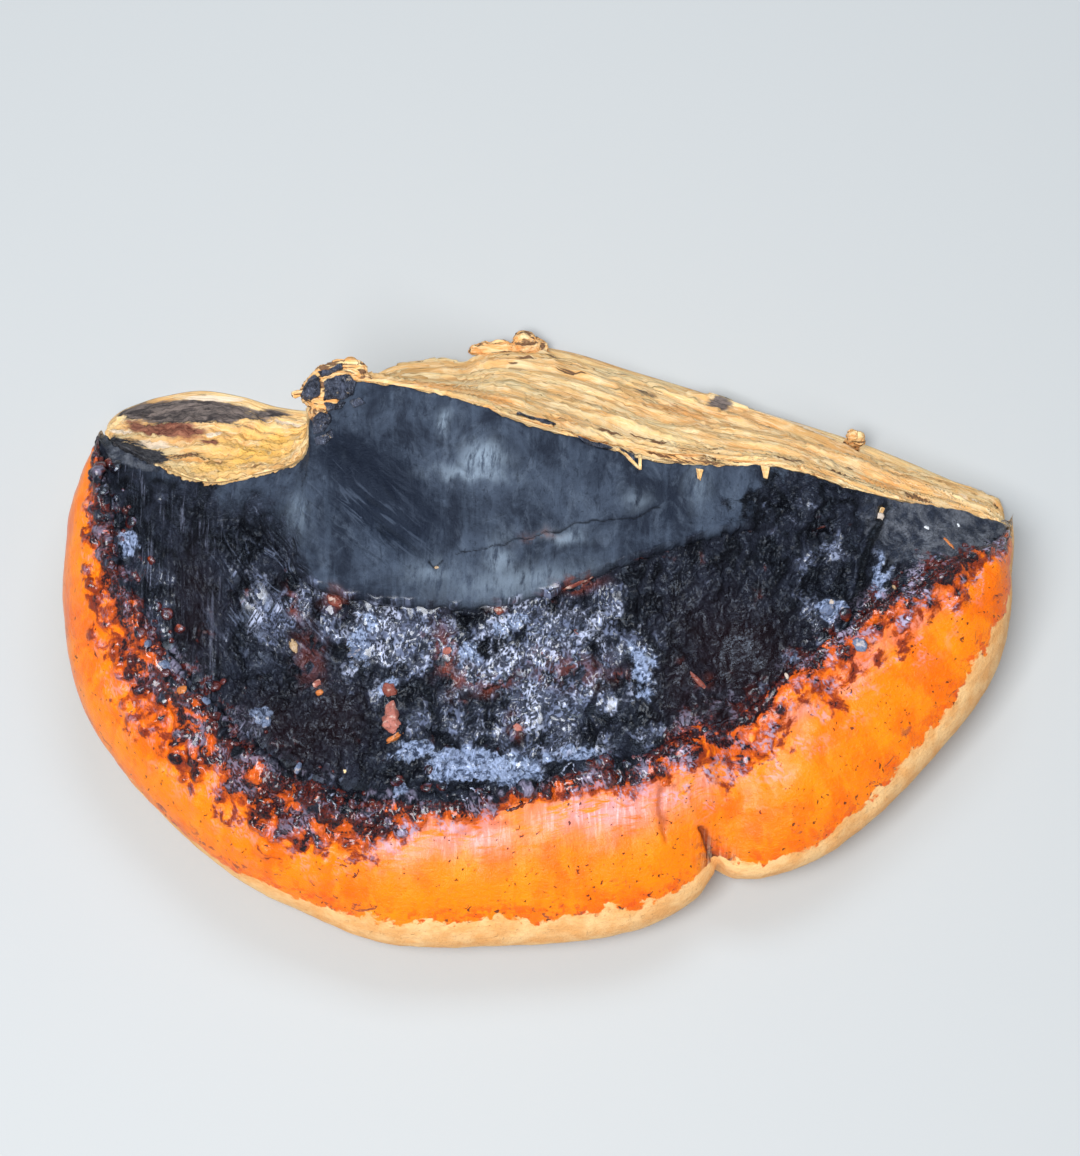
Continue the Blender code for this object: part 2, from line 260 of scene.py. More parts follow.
def points_in_mm(mesh):
    """The places of a mesh's points, one row each."""
    co = np.empty(len(mesh.vertices) * 3)
    mesh.vertices.foreach_get("co", co)
    return co.reshape(-1, 3) / MM


def lofted(name, places, attributes):
    """A closed mesh through rings of places, which close at the two corners of the tear."""
    columns, around = places.shape[:2]
    ends = [np.array(corner, float) for corner in (LEFT_CORNER, RIGHT_CORNER)]
    points = (np.vstack([places.reshape(-1, 3), ends]) - MIDDLE) * MM
    here = np.arange(columns * around).reshape(columns, around)
    there = np.roll(here, -1, 1)
    walls = np.stack([here[:-1], here[1:], there[1:], there[:-1]], -1).reshape(-1, 4)
    left, right = columns * around, columns * around + 1
    faces = walls.tolist()
    faces += [(left, a, b) for a, b in zip(here[0].tolist(), there[0].tolist())]
    faces += [(right, b, a) for a, b in zip(here[-1].tolist(), there[-1].tolist())]
    mesh = bpy.data.meshes.new(name)
    mesh.from_pydata(points.tolist(), [], faces)
    for key, values in attributes.items():
        flat = values.reshape(columns * around, *values.shape[2:])
        store(mesh, key, np.concatenate([flat, values[0, :1], values[-1, :1]]))
    form = bmesh.new()
    form.from_mesh(mesh)
    bmesh.ops.recalc_face_normals(form, faces=form.faces)
    form.to_mesh(mesh)
    form.free()
    mesh.shade_smooth()
    return linked(name, mesh)


class Reading:
    """The output of a node. Sums and products of readings add nodes."""

    def __init__(self, tree, socket):
        self.tree, self.socket = tree, socket

    def combined(self, operation, other):
        return added(self.tree, "ShaderNodeMath", {0: self, 1: other}, operation=operation)

    def __add__(self, other):
        return self.combined("ADD", other)

    def __sub__(self, other):
        return self.combined("SUBTRACT", other)

    def __mul__(self, other):
        return self.combined("MULTIPLY", other)

    def __rsub__(self, other):
        return self * -1 + other

    __radd__ = __add__

    def between(self, low, high):
        """Rises smoothly from 0 to 1 while this reading goes from low to high."""
        inputs = {0: self, 1: low, 2: high}
        return added(self.tree, "ShaderNodeMapRange", inputs, interpolation_type="SMOOTHSTEP")

    def stretched(self, x, y, z):
        """These coordinates with every length along an axis divided by that number."""
        return added(self.tree, "ShaderNodeVectorMath", {0: self, 1: (x, y, z)}, operation="DIVIDE")

    def other(self, name):
        """Another output of the same node."""
        return Reading(self.tree, self.socket.node.outputs[name])

    def axes(self):
        """The three numbers of a vector."""
        parts = added(self.tree, "ShaderNodeSeparateXYZ", {0: self})
        return [parts.other(axis) for axis in "XYZ"]


def fill(slot, value):
    """Links a reading to a socket, or sets the socket to a plain value."""
    if isinstance(value, Reading):
        value.tree.links.new(value.socket, slot)
    else:
        slot.default_value = (*value, 1) if slot.type == "RGBA" else value


def added(tree, kind, inputs, output=0, **settings):
    """Adds a node with these inputs and settings, and returns one of its outputs."""
    made = tree.nodes.new(kind)
    for key, value in settings.items():
        setattr(made, key, value)
    for key, value in inputs.items():
        fill(made.inputs[key], value)
    return Reading(tree, made.outputs[output])


def measured(tree, names):
    """The reading of an attribute of the mesh, or of several whose names stand in one line."""
    readings = []
    for name in names.split():
        if tree.type == "GEOMETRY":
            kind = "FLOAT_VECTOR" if name in VECTORS else "FLOAT"
            made = added(tree, "GeometryNodeInputNamedAttribute", {"Name": name}, "Attribute", data_type=kind)
        else:
            output = "Vector" if name in VECTORS else "Fac"
            made = added(tree, "ShaderNodeAttribute", {}, output, attribute_name=name)
        readings.append(made)
    return readings if len(readings) > 1 else readings[0]


def places_in_mm(tree):
    """Where each point of the piece is, in mm."""
    if tree.type == "GEOMETRY":
        where = added(tree, "GeometryNodeInputPosition", {})
    else:
        where = added(tree, "ShaderNodeTexCoord", {}, "Object")
    return where.stretched(MM, MM, MM)


def mottle(where, size, detail=3.0, rough=0.55, warp=0.0):
    """Cloudy noise from 0 to 1. Its patches have this size in mm, or these sizes along the axes."""
    if isinstance(size, tuple):
        where, size = where.stretched(*size), 1
    inputs = {"Vector": where, "Scale": 1 / size, "Detail": detail, "Roughness": rough, "Distortion": warp}
    return added(where.tree, "ShaderNodeTexNoise", inputs)


def veins(cloud, faint, full):
    """Thin lines where cloudy noise crosses its middle: how far off they start and how near they are full."""
    return (cloud - 0.5).combined("ABSOLUTE", 0).between(faint, full)


def swing(cloud, height):
    """Cloudy noise as a relief that goes this far up and down."""
    return (cloud - 0.5) * height * 2


def cells(where, size, scatter=1.0, smooth=0.0):
    """How far each point is from the heart of its cell. The cells have this size in mm."""
    inputs = {"Vector": where, "Scale": 1 / size, "Randomness": scatter}
    if smooth:
        inputs["Smoothness"] = smooth
    return added(where.tree, "ShaderNodeTexVoronoi", inputs, feature="SMOOTH_F1" if smooth else "F1")


def relief_tree(name, sizes):
    """A new node tree for a surface, with these sizes: the tree, the surface, and the sizes as readings."""
    tree = bpy.data.node_groups.new(name, "GeometryNodeTree")
    for way in ("INPUT", "OUTPUT"):
        tree.interface.new_socket("Geometry", in_out=way, socket_type="NodeSocketGeometry")
    for key, value in sizes.items():
        tree.interface.new_socket(key, in_out="INPUT", socket_type="NodeSocketFloat").default_value = value
    tree.interface.new_socket("Material", in_out="INPUT", socket_type="NodeSocketMaterial")
    given = tree.nodes.new("NodeGroupInput").outputs
    return tree, Reading(tree, given["Geometry"]), {key: Reading(tree, given[key]) for key in sizes}


def raised_by(surface, height_mm):
    """The surface with every point moved along its normal by a height in mm."""
    normal = added(surface.tree, "GeometryNodeInputNormal", {})
    moved = added(surface.tree, "ShaderNodeVectorMath", {0: normal, "Scale": height_mm * MM}, operation="SCALE")
    return added(surface.tree, "GeometryNodeSetPosition", {"Geometry": surface, "Offset": moved})


def kept(surface, name, reading):
    """The surface with a reading stored on its points, so that the material can use it too."""
    inputs = {"Geometry": surface, "Name": name, "Value": reading}
    return added(surface.tree, "GeometryNodeStoreNamedAttribute", inputs, data_type="FLOAT", domain="POINT")


def close_tree(surface):
    """Ends a tree: the instances become a mesh, which gets the given material."""
    tree = surface.tree
    whole = added(tree, "GeometryNodeRealizeInstances", {0: surface})
    material = Reading(tree, tree.nodes["Group Input"].outputs["Material"])
    done = added(tree, "GeometryNodeSetMaterial", {"Geometry": whole, "Material": material})
    fill(tree.nodes.new("NodeGroupOutput").inputs[0], done)


def evaluated(piece):
    """The plain mesh that the modifiers of a piece make."""
    graph = bpy.context.evaluated_depsgraph_get()
    made = piece.evaluated_get(graph)
    return bpy.data.meshes.new_from_object(made, preserve_all_data_layers=True, depsgraph=graph)


def grown(piece, tree, material, **sizes):
    """Runs a node tree on a piece, and leaves what it makes as the piece's plain mesh."""
    growth = piece.modifiers.new(tree.name, "NODES")
    growth.node_group = tree
    slots = {item.name: item.identifier for item in tree.interface.items_tree if item.in_out == "INPUT"}
    growth[slots["Material"]] = material
    for key, value in sizes.items():
        growth[slots[key.replace("_", " ")]] = value
    mesh = evaluated(piece)
    piece.modifiers.clear()
    piece.data = mesh
    mesh.shade_smooth()


def painted(name):
    """A new material: its tree and its Principled BSDF."""
    made = bpy.data.materials.new(name)
    made.use_nodes = True
    return made, made.node_tree, made.node_tree.nodes["Principled BSDF"]


def colour_mix(share, first, second):
    """A colour that goes from the first to the second as the share goes from 0 to 1."""
    return added(share.tree, "ShaderNodeMix", {0: share, 6: first, 7: second}, 2, data_type="RGBA")


def layered(colour, *layers):
    """Colours laid over one another. Each layer is how much of it shows, from 0 to 1, and its colour."""
    for share, laid in layers:
        colour = colour_mix(share, colour, laid)
    return colour


def coated(shader, inputs, height_mm):
    """Fills the inputs of a shader, and gives it the fine relief of this height in mm."""
    for key, value in inputs.items():
        fill(shader.inputs[key], value)
    bump = added(height_mm.tree, "ShaderNodeBump", {"Height": height_mm, "Distance": MM})
    fill(shader.inputs["Normal"], bump)


def marked(x, y, marks):
    """How strongly marks show at these places. Each is a soft oval."""
    shows = np.zeros(np.shape(x))
    for at_x, at_y, long, wide, turn, strength in marks:
        turned = np.exp(-1j * math.radians(turn)) * ((x - at_x) + 1j * (y - at_y))
        here = strength * np.exp(-((turned.real / long) ** 2) - (turned.imag / wide) ** 2)
        shows = np.maximum(shows, here)
    return shows


# Torn flesh shows its fibres: long pale streaks with brown gaps and orange stains between them. It is
# weathered grey, red or pale in places, and yellow and crumbly in the scoop at the left end. The pale
# places are partly painted highlights along the top rim and the edges of slivers.
torn_flesh, tree, shader = painted("torn_flesh")
grain, weathered, reddened, browned, stained, yellowed, paled, crusted = measured(
    tree, "grain weathered reddened browned stained yellowed paled crusted"
)
where = places_in_mm(tree)
broad = mottle(grain, (24, 3.2, 3.2), 4, 0.55, 0.5)
thin = mottle(grain, (15, 0.9, 0.9), 4, 0.6, 0.3)
hair = mottle(grain, (6, 0.3, 0.3), 3, 0.6)
patchy = mottle(grain, (9, 4, 4), 5, 0.65, 0.8)
gaps = (mottle(grain, (11, 1.0, 1.0), 3, 0.55, 0.3) + browned * 0.24).between(0.66, 0.72)
layers = mottle(grain, (14, 2.6, 2.6), 4, 0.6, 1.0)
fray = mottle(grain, (5, 1.0, 1.0), 5, 0.7, 0.8)
grit = mottle(where, 1.3, 5, 0.7)
red_here = (reddened + (layers - 0.5) * 0.9 + (fray - 0.5) * 0.8).between(0.34, 0.74)
grey_here = (weathered + (layers - 0.5) * 1.0 + (fray - 0.5) * 0.9).between(0.34, 0.70)
pale_here = (paled + (layers - 0.5) * 1.1 + (fray - 0.5) * 0.9).between(0.50, 0.70)
crust_here = (crusted + (fray - 0.5) * 0.8).between(0.45, 0.60)
colour = layered(
    colour_mix(broad.between(0.34, 0.60), (0.76, 0.42, 0.15), (0.93, 0.64, 0.29)),
    (patchy.between(0.44, 0.62) * 0.5, (0.96, 0.75, 0.44)),
    ((stained + patchy.between(0.62, 0.50) * 0.35) * thin.between(0.62, 0.44), (0.88, 0.40, 0.12)),
    (thin.between(0.44, 0.35) * 0.8, (0.55, 0.28, 0.10)),
    (hair.between(0.5, 0.66) * 0.4, (0.98, 0.82, 0.56)),
    (gaps, colour_mix(hair, (0.085, 0.045, 0.028), (0.34, 0.17, 0.08))),
    (yellowed * mottle(where, 5, 4, 0.6).between(0.36, 0.56), (0.98, 0.55, 0.13)),
    (yellowed * grit.between(0.58, 0.66) * 0.8, (0.48, 0.22, 0.05)),
    (yellowed * mottle(where, 2.2, 4, 0.7).between(0.60, 0.68) * 0.7, (1.0, 0.80, 0.42)),
    (red_here, colour_mix(fray.between(0.36, 0.64), (0.16, 0.045, 0.030), (0.42, 0.17, 0.10))),
    (grey_here, colour_mix(fray.between(0.38, 0.62), (0.040, 0.032, 0.032), (0.20, 0.155, 0.135))),
    # Pale patches, partly painted highlights.
    (pale_here * 0.9, (0.95, 0.75, 0.55)),
    (crust_here, colour_mix(grit.between(0.4, 0.6), (0.022, 0.022, 0.028), (0.085, 0.080, 0.086))),
)
fibre_height = broad * 0.3 + thin * 0.5 + hair * 0.25 - gaps * 0.4
coated(
    shader,
    {"Base Color": colour, "Roughness": 0.8, "Specular IOR Level": 0.25},
    fibre_height * 1.1 + grit * (yellowed + reddened + 0.15) * 0.6,
)

pore_layer, tree, shader = painted("pore_layer")
where = places_in_mm(tree)
pore = cells(where, 0.42, scatter=0.75).between(0.26, 0.40)
bruise = mottle(where, 9, 5, 0.7, 0.8).between(0.60, 0.74)
colour = colour_mix(mottle(where, 24, 4, 0.6, 0.5).between(0.35, 0.65), (0.80, 0.55, 0.27), (0.93, 0.72, 0.43))
colour = colour_mix(pore, (0.42, 0.24, 0.09), colour_mix(bruise * 0.6, colour, (0.45, 0.24, 0.09)))
coated(shader, {"Base Color": colour, "Roughness": 0.78}, pore * 0.25 + mottle(where, 5, 4, 0.6) * 0.3)

# From where to where the flesh follows each strip of crust, and in how many columns.
FLESH_COLUMNS, FLESH_TORN, FLESH_PORES = 560, 130, 22
FLESH_UNDER_CRUST = {"old": (0, 0.92, 10), "black": (0.08, 0.9, 5), "belt": (0.1, 0.9, 5)}
SUNK_UNDER_OLD, SUNK_ELSEWHERE = [(0, 0.9), (6, 1.2), (10, 4.6)], 2.4
CRUSTED_ABOVE = (5, 12)

# Where the torn back is marked: x, y, half length, half width, turn in degrees and strength.
TORN_MARKS = {
    "weathered": [(-86, 59.2, 16, 3.6, -3, 1.6), (-67, 58.8, 6.5, 2.2, 0, 1), (-100, 59, 5, 2.6, 0, 1.1),
                  (-76, 60, 5, 2, 0, 0.7), (26, 57.5, 4, 1.6, -10, 0.8), (44, 58, 4, 1.4, -10, 0.8),
                  (71, 47, 5, 1.0, -10, 0.6), (20, 68, 6, 1.4, -10, 0.6)],
    "reddened": [(-91, 52.6, 9.5, 2.8, -6, 1.5), (-80, 48.6, 3, 1.4, -10, 1.1), (-99, 55.5, 4, 1.6, 0, 0.9),
                 (-71, 54, 4, 1.2, 0, 0.5)],
    "browned": [(21, 36, 10, 2.4, -6, 0.9), (35, 30, 6, 2, 0, 0.9), (42, 33.5, 4, 1.4, 0, 1),
                (54.5, 29.4, 6, 1.5, 0, 1), (16, 26.5, 9, 2, 0, 0.9), (62, 30, 8, 1.6, 0, 0.8),
                (-80, 40, 6, 5, 0, 0.6), (2, 70, 10, 3, -10, 0.5), (30, 27, 18, 1.6, -2, 0.9),
                (-84, 42, 7, 3, 20, 0.8), (80, 28, 12, 2, -10, 0.6)],
    "stained": [(36, 52, 12, 5, -8, 1), (-9, 40, 5, 2.4, 0, 1), (-16, 34, 8, 1.8, 0, 0.8),
                (60, 38, 12, 3, 0, 0.7), (-24, 43, 9, 2.4, -6, 0.8), (80, 31, 10, 3, -10, 0.7),
                (5, 36, 8, 2.4, 0, 0.7), (-83, 39, 6, 3.4, 0, 0.9)],
    "yellowed": [(-68, 43, 11, 11, 0, 1.1), (-62, 50, 6, 5, 0, 1), (-76, 33, 9, 6, 0, 0.8)],
    # Pale streaks, partly painted highlights along the top rim and the edges of slivers.
    "paled": [(-81, 63.4, 9, 1.1, 0, 1.1), (-92, 47.4, 7, 1.5, -5, 0.9), (-102, 50.5, 4, 1.2, 0, 0.9),
              (-79.5, 51, 3, 1.4, 10, 0.9), (64, 56, 32, 1.8, -25, 0.8), (100, 32, 12, 5, -22, 0.7),
              (-62, 55.6, 7, 1.4, 0, 0.8), (-24, 55, 14, 5, 10, 0.4)],
    "crusted": [(-98.5, 38, 9.4, 8, -32, 2)],
}

# Where the crust hides the flesh, it stops short of the crust's outer face. The rest is its pore face
# and its torn back, whose rows lie closer together near both edges.
shares = np.arange(1, FLESH_COLUMNS) / FLESH_COLUMNS
hidden = [cap_places(shares, strip, np.linspace(*span)) for strip, span in FLESH_UNDER_CRUST.items()]
hidden = np.concatenate([*hidden, under_roll_places(shares, np.array([0.3, 0.7]))], 1)
sunk = np.interp(np.arange(hidden.shape[1]), *zip(*SUNK_UNDER_OLD))
sunk[FLESH_UNDER_CRUST["old"][2] :] = SUNK_ELSEWHERE
hidden = hidden - outward(hidden) * sunk[:, None] * near_corners(shares)[:, None, None]
torn_steps = np.linspace(0, 1, FLESH_TORN, endpoint=False)
torn_across = (1 - np.cos(math.pi * torn_steps)) / 2 * 0.35 + torn_steps * 0.65
torn = torn_places(shares, torn_across)
pores = pore_face_places(shares, np.linspace(0, 1, FLESH_PORES, endpoint=False))
places = swollen(np.concatenate([hidden, pores, torn], 1))
before = hidden.shape[1] + FLESH_PORES
torn_rise = smooth_step(0, 0.04, torn_across) * smooth_step(1, 0.985, torn_across)
is_torn = np.concatenate([np.zeros(before), torn_rise])
steps = np.linalg.norm(np.diff(places, axis=1, prepend=places[:, :1]), axis=-1).cumsum(1)
x, y, z = places[..., 0], places[..., 1], places[..., 2]
readings = {
    "torn": is_torn * near_corners(shares)[:, None] * smooth_step(0.3, 5, z),
    "crumbly": smooth_step(SCOOP_RIGHT + 3, SCOOP_RIGHT - 5, x),
    "grain": np.stack([x, steps - steps[:, before][:, None], y * 0.2], -1),
}
for key, marks in TORN_MARKS.items():
    readings[key] = marked(x, y, marks)
readings["crusted"] *= smooth_step(*CRUSTED_ABOVE, z)
readings["torn"] *= 1 - 0.7 * np.clip(readings["crusted"], 0, 1)
flesh = lofted("flesh", places, readings)

# Its back tore in long splintery layers that run along the tear. The left end is crumbly instead.
tear_tree, surface, size = relief_tree(
    "tear_relief",
    {"Layer Height": 0.45, "Slope Height": 3.0, "Fibre Height": 0.9, "Sliver Height": 0.6, "Gap Depth": 0.8,
     "Hair Height": 0.35, "Crumb Height": 1.5},
)
grain, is_torn, crumbly = measured(tear_tree, "grain torn crumbly")
where = places_in_mm(tear_tree)
layer = mottle(grain, (60, 7, 7), 2, 0.45, 0.2)
first = ((layer * 16).combined("SNAP", 1.0) - 8) * size["Layer Height"] + (layer - 0.5) * size["Slope Height"]
first = first + (mottle(where, 5.5, 3, 0.6, 0.5) - 0.5) * size["Crumb Height"] * 3 * crumbly
sliver = veins(mottle(grain, (60, 3.4, 3.4), 1, 0.5, 0.1), 0.03, 0.0)
gap = mottle(grain, (11, 1.0, 1.0), 2, 0.5, 0.3).between(0.64, 0.72)
second = swing(mottle(grain, (44, 2.0, 2.0), 2, 0.5, 0.1), size["Fibre Height"])
second = second + sliver * size["Sliver Height"] - gap * size["Gap Depth"]
second = second + swing(mottle(grain, (12, 0.75, 0.75), 2, 0.5), size["Hair Height"])
crumbs = (mottle(where, 1.5, 4, 0.7) - 0.5) * size["Crumb Height"] * (crumbly * 0.94 + 0.06) * 1.6
second = second * (1 - crumbly * 0.6) + crumbs
surface = raised_by(surface, first * is_torn)
surface = raised_by(surface, second * is_torn)
close_tree(surface)
grown(flesh, tear_tree, torn_flesh)
flesh.data.materials.clear()
flesh.data.materials.append(torn_flesh)
flesh.data.materials.append(pore_layer)
for face in flesh.data.polygons:
    face.material_index = int(face.normal.z < -0.9 and face.center.z < 0.0005)
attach(flesh, "root")
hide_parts("conk")


# The crust: a hard skin in three growths that share one material. The old one round the tear is dull
# and grey, and ends in a ledge. The next is black resin, wrinkled and glossy. The youngest is the
# orange belt, lacquered and smooth, which turns cream where it still grows, above and under the rim.

# How wide the cream margin is, and where the crust turns orange, before and after the belt's edge.
MARGIN = [(0, 1), (0.16, 0), (0.25, 1), (0.31, 3), (0.36, 6), (0.42, 11), (0.5, 13), (0.58, 13), (0.66, 9),
          (0.7, 8), (0.74, 10), (0.78, 12), (0.84, 13), (0.88, 16), (0.92, 10), (0.96, 7), (1, 5)]
TURNS_BEFORE = [(0, 1.5), (0.06, 3), (0.12, 5), (0.22, 7), (0.30, 7), (0.36, 7), (0.42, 4), (0.47, 1.5),
                (0.56, 1.5), (0.61, 3), (0.66, 12), (0.72, 9), (0.86, 8), (0.93, 5), (1, 1.5)]
TURNS_AFTER = [(0, 2), (0.08, 6), (0.15, 10), (0.22, 14), (0.30, 15), (0.36, 16), (0.42, 11), (0.46, 4),
               (0.56, 3), (0.62, 5), (0.67, 9), (0.72, 8), (0.8, 8), (0.88, 8), (0.94, 5), (1, 2)]
# The cracks: their lines, their depth and their width.
CRACKS = [
    ([(-18.4, 4.2), (-9, 5.8), (0.5, 8.1), (9.4, 10.6), (23, 12.5), (27.7, 14.2)], 0.3, 0.4),
    ([(-16.1, 8.7), (-6.4, 12.9)], 0.2, 0.4),
    ([(-24.4, 3.2), (-23, 1.5), (-22, 2.6)], 0.3, 0.5),
    ([(80.5, 19.1), (77, 12), (74.4, 5.1), (73, -3.4)], 1.2, 1.8),
    ([(26.2, -42), (27, -46), (27.6, -50), (28.8, -57)], 0.6, 1.6),
    ([(37.5, -54), (40, -58), (42.5, -63)], 1.2, 1.6),
    ([(-12.2, -24.2), (-8.6, -23.4), (-5.7, -21.4)], 0.9, 0.7),
]

# Where the crust is marked: x, y, half length, half width, turn in degrees and strength.
MARKS = {
    # These marks are painted shade in the hollows of the old crust.
    "hollow": [(-35, 18, 17, 8.5, -40, 1.1), (-28, 5, 9, 4, -15, 0.6), (-46, 26, 5, 9, 0, 0.7),
               (40, 18, 5, 6, 0, 0.5), (30, 14, 4, 5, 0, 0.5), (-60, 10, 5, 9, 20, 0.6),
               (14, 22, 4, 8, 0, 0.45)],
    "combed": [(-37, 13, 18, 8, -42, 1), (-52, 18, 7, 12, 0, 0.7), (-28, 2, 12, 4, -8, 0.5)],
    # These marks are a painted pale sheen on the hump.
    "bloom": [(-12.6, 23.5, 4.5, 3.2, 0, 1), (-15, 20.5, 8, 1.3, -6, 0.8), (-21.4, 30.9, 1.3, 2.2, 0, 0.9),
              (5.7, 7.8, 4.5, 1.7, 0, 0.7), (-8.8, 2.6, 3, 4, 0, 0.6), (22.4, 15.8, 2.6, 1.6, 0, 0.5),
              (-4, -2, 16, 3.4, 6, 0.5), (-24, 0, 6, 3, 0, 0.4), (-55, 15, 2.4, 5, 10, 0.4),
              (36.5, 20, 2.6, 5, 0, 0.4)],
    # These marks are painted shade: the resin is painted near black there, in the valley and in dark places on
    # the left.
    "valley": [(47, -17, 15, 10, -35, 1), (40, -31, 9, 7, 0, 1), (33, -24, 5, 8, 0, 0.8),
               (-78, -4, 5, 13, 8, 0.5), (-56, -34, 12, 6, -30, 0.8), (-46, -31, 7, 7, 0, 0.8)],
    "rust": [(-20.8, -17, 2, 5.5, 12, 1), (-17, -22, 4.5, 1.6, -10, 0.7), (-9, -23, 4, 1.4, 20, 0.9),
             (0.5, 7.8, 4, 0.9, 10, 0.6), (-5, -32.4, 1.3, 2.2, 15, 1), (36.6, -22, 3.2, 1.1, 0, 1),
             (9.1, -1.8, 4.5, 1.2, 8, 0.9), (-9, -7.2, 1.4, 1, 0, 0.9), (-46.3, -4.4, 2.3, 1.8, 0, 0.9),
             (-56, -5, 1.2, 3.5, 20, 0.8), (8, -20, 7, 3, 0, 0.5), (-52, -17, 3, 6, 10, 0.4)],
    "smooth": [(13, -29, 14, 2.2, 6, 1), (-14, -27, 6, 1.6, 0, 0.8), (91, 14, 17, 10, -10, 1.3),
               (106, 21, 8, 6, 0, 1.3), (-95, 34, 10, 5, -30, 0.8)],
    # These marks are painted blue sky reflections on smooth, wet resin.
    "blued": [(-17, -41, 9, 4, 4, 1.2), (-5, -43, 7, 4.4, 0, 1.2), (-28, -38, 5, 3, 0, 0.9),
              (-31, -47, 3, 3, 0, 0.9), (8, -38, 6, 3, 5, 0.8), (66, -6.5, 3, 2.4, 0, 1),
              (70, -5.4, 2.4, 2, 0, 0.9), (73, -14.4, 3.8, 2.8, 20, 1), (78, 0, 3, 7, -14, 0.8),
              (52, -24, 3, 4, 20, 0.7), (-63, -30, 3.5, 2, 0, 1), (-95, 12, 3.4, 3.4, 0, 0.9),
              (-41, -15, 3.4, 4.5, 10, 0.9), (-38, -9, 3, 3, 0, 0.7), (-34, -24, 2.4, 4, 0, 0.8),
              (-16, -16, 3, 4, 10, 0.9), (-6, -10, 6, 3, 0, 0.7), (-89, -16, 3, 3, 0, 0.8),
              (24, -20, 4, 10, 5, 0.7), (58, -17, 3, 3, 30, 0.6)],
    "tarred": [(64, 15, 18, 10, 0, 1.2), (-84, 12, 13, 14, 0, 1.4), (-72, 2, 8, 8, 0, 1),
               (-68, 8, 6, 6, 0, 0.6)],
    "ringed": [(-64, -2, 11, 14, 0, 1.1), (-54, -12, 10, 8, 0, 0.7)],
    # These marks are a painted pink sheen on the lacquered belt.
    "pinkish": [(13, -51, 14, 4.6, 6, 1.3), (28, -48, 6, 4, 0, 0.8), (-18, -56.5, 13, 4, 0, 1.0),
                (36, -45, 5, 3, 0, 0.6), (73, -19.5, 9, 2.4, 42, 0.9), (86, -7, 7, 2.6, 45, 0.9),
                (58, -30, 6, 2, 30, 0.7), (-31, -56, 6, 6, 0, 1.1)],
    "tip": [(112, 23.5, 4.0, 5.5, 0, 1.2), (-104.4, 44, 1.8, 3.0, 0, 1)],
    "cleft": [(41.5, -60.8, 3.2, 5.0, 38, 1.1)],
    # These marks say where the painted glints and sheen show, and how strongly.
    "glinting": [(0, -18, 30, 24, 0, 1.2), (-34, -12, 20, 16, 0, 1), (-62, -6, 10, 15, 0, 0.85),
                 (66, 6, 22, 12, 0, 0.35), (70, -10, 14, 7, 40, 0.8), (-84, -14, 10, 18, 25, 0.6),
                 (-60, -36, 16, 8, -35, 0.7), (24, -34, 10, 5, 0, 0.7)],
}
COMBED_TURN = math.radians(-42)
ROUND_LENGTH, FLAT, MEASURING_STEPS = 330, 1000, 30
# The edges of the black crust and of the belt are tucked under the crust before them, and dip there.
BLACK_TUCK, BLACK_RISE, LEDGE_DIP = 0.08, 0.15, 1.9
BELT_TUCK, BELT_DIP = 0.06, 0.9
STREAKED_LEFT_OF, LUMPY_RIGHT_OF = (-66, -74), (27, 33)
EDGE_TURNS, EDGE_BULGE, EDGE_RELIEF, INNER_COLUMNS = (40, 90, 140), 0.4, [0.8, 0.4, 0], 12
OLD_COLUMNS, OLD_ACROSS, OLD_THICKNESS = 700, 118, [(0, 1.3), (0.6, 2.0), (0.85, 4.2), (1, 4.4)]
BLACK_COLUMNS, BLACK_ACROSS, BLACK_THICKNESS = 760, 112, [(0, 1.5), (1, 1.3)]
BELT_COLUMNS, BELT_ACROSS, ROLL_ACROSS, BELT_THICKNESS = 760, 88, 24, [(0, 1.5), (1, 1.5)]


def strip_length(shares, strip):
    """How long the strip is at each share of the way round, in mm."""
    across = np.linspace(0, 1, MEASURING_STEPS)
    grid = under_roll_places(shares, across) if strip == "roll" else cap_places(shares, strip, across)
    return np.linalg.norm(np.diff(grid, axis=1), axis=-1).sum(1)[:, None]


def crust_readings(shares, strip, across, places, overhang=0.0):
    """What the crust's relief and colours depend on: its distances from the growth lines, and its marks."""
    old, black, belt_width = (strip_length(shares, name) for name in ("old", "black", "belt"))
    across = across - overhang / np.maximum(black, 6) * smooth_step(0.6, 1.0, across)
    if strip == "old":
        past_ledge = (across - 1) * old
    elif strip == "black":
        past_ledge = across * black
    elif strip == "belt":
        past_ledge = black + across * belt_width
    else:
        past_ledge = black + belt_width + across * strip_length(shares, "roll")
    past_belt_edge = past_ledge - black
    round_share = np.broadcast_to(shares[:, None], past_ledge.shape)
    x, y = places[..., 0], places[..., 1]
    tables = (TURNS_BEFORE, TURNS_AFTER, MARGIN)
    before, after, margin = (np.interp(round_share, *zip(*table)) for table in tables)
    crack = np.zeros(past_ledge.shape)
    waver = soft_noise(x, y, 11.0, 3.5) * 1.1 + soft_noise(x, y, 12.0, 1.1) * 0.35
    for line, depth, width in CRACKS:
        gap, _ = distance_to_line(x + waver, y + waver, line)
        crack = np.maximum(crack, depth * smooth_step(width, 0, gap))
    combed = np.exp(-1j * COMBED_TURN) * (x + 1j * y)
    readings = {
        "comb": np.stack([combed.real, combed.imag, past_ledge * 0], -1),
        "held": np.broadcast_to(near_corners(shares)[:, None], round_share.shape),
        "growth": np.stack([round_share * ROUND_LENGTH, past_belt_edge, past_ledge], -1),
        "cream": past_belt_edge - belt_width + margin,
        "turned": (past_belt_edge + before) / (before + after),
        "streaked": smooth_step(*STREAKED_LEFT_OF, x + soft_noise(x, y, 21.0, 9) * 4),
        "lumpy": smooth_step(*LUMPY_RIGHT_OF, x + soft_noise(x, y, 22.0, 7) * 4),
        "ledged": np.broadcast_to(ledge_shows(shares)[:, None], round_share.shape),
        "crack": crack,
    }
    for key, marks in MARKS.items():
        readings[key] = marked(x + waver * 1.3, y + waver * 1.3, marks)
    return readings


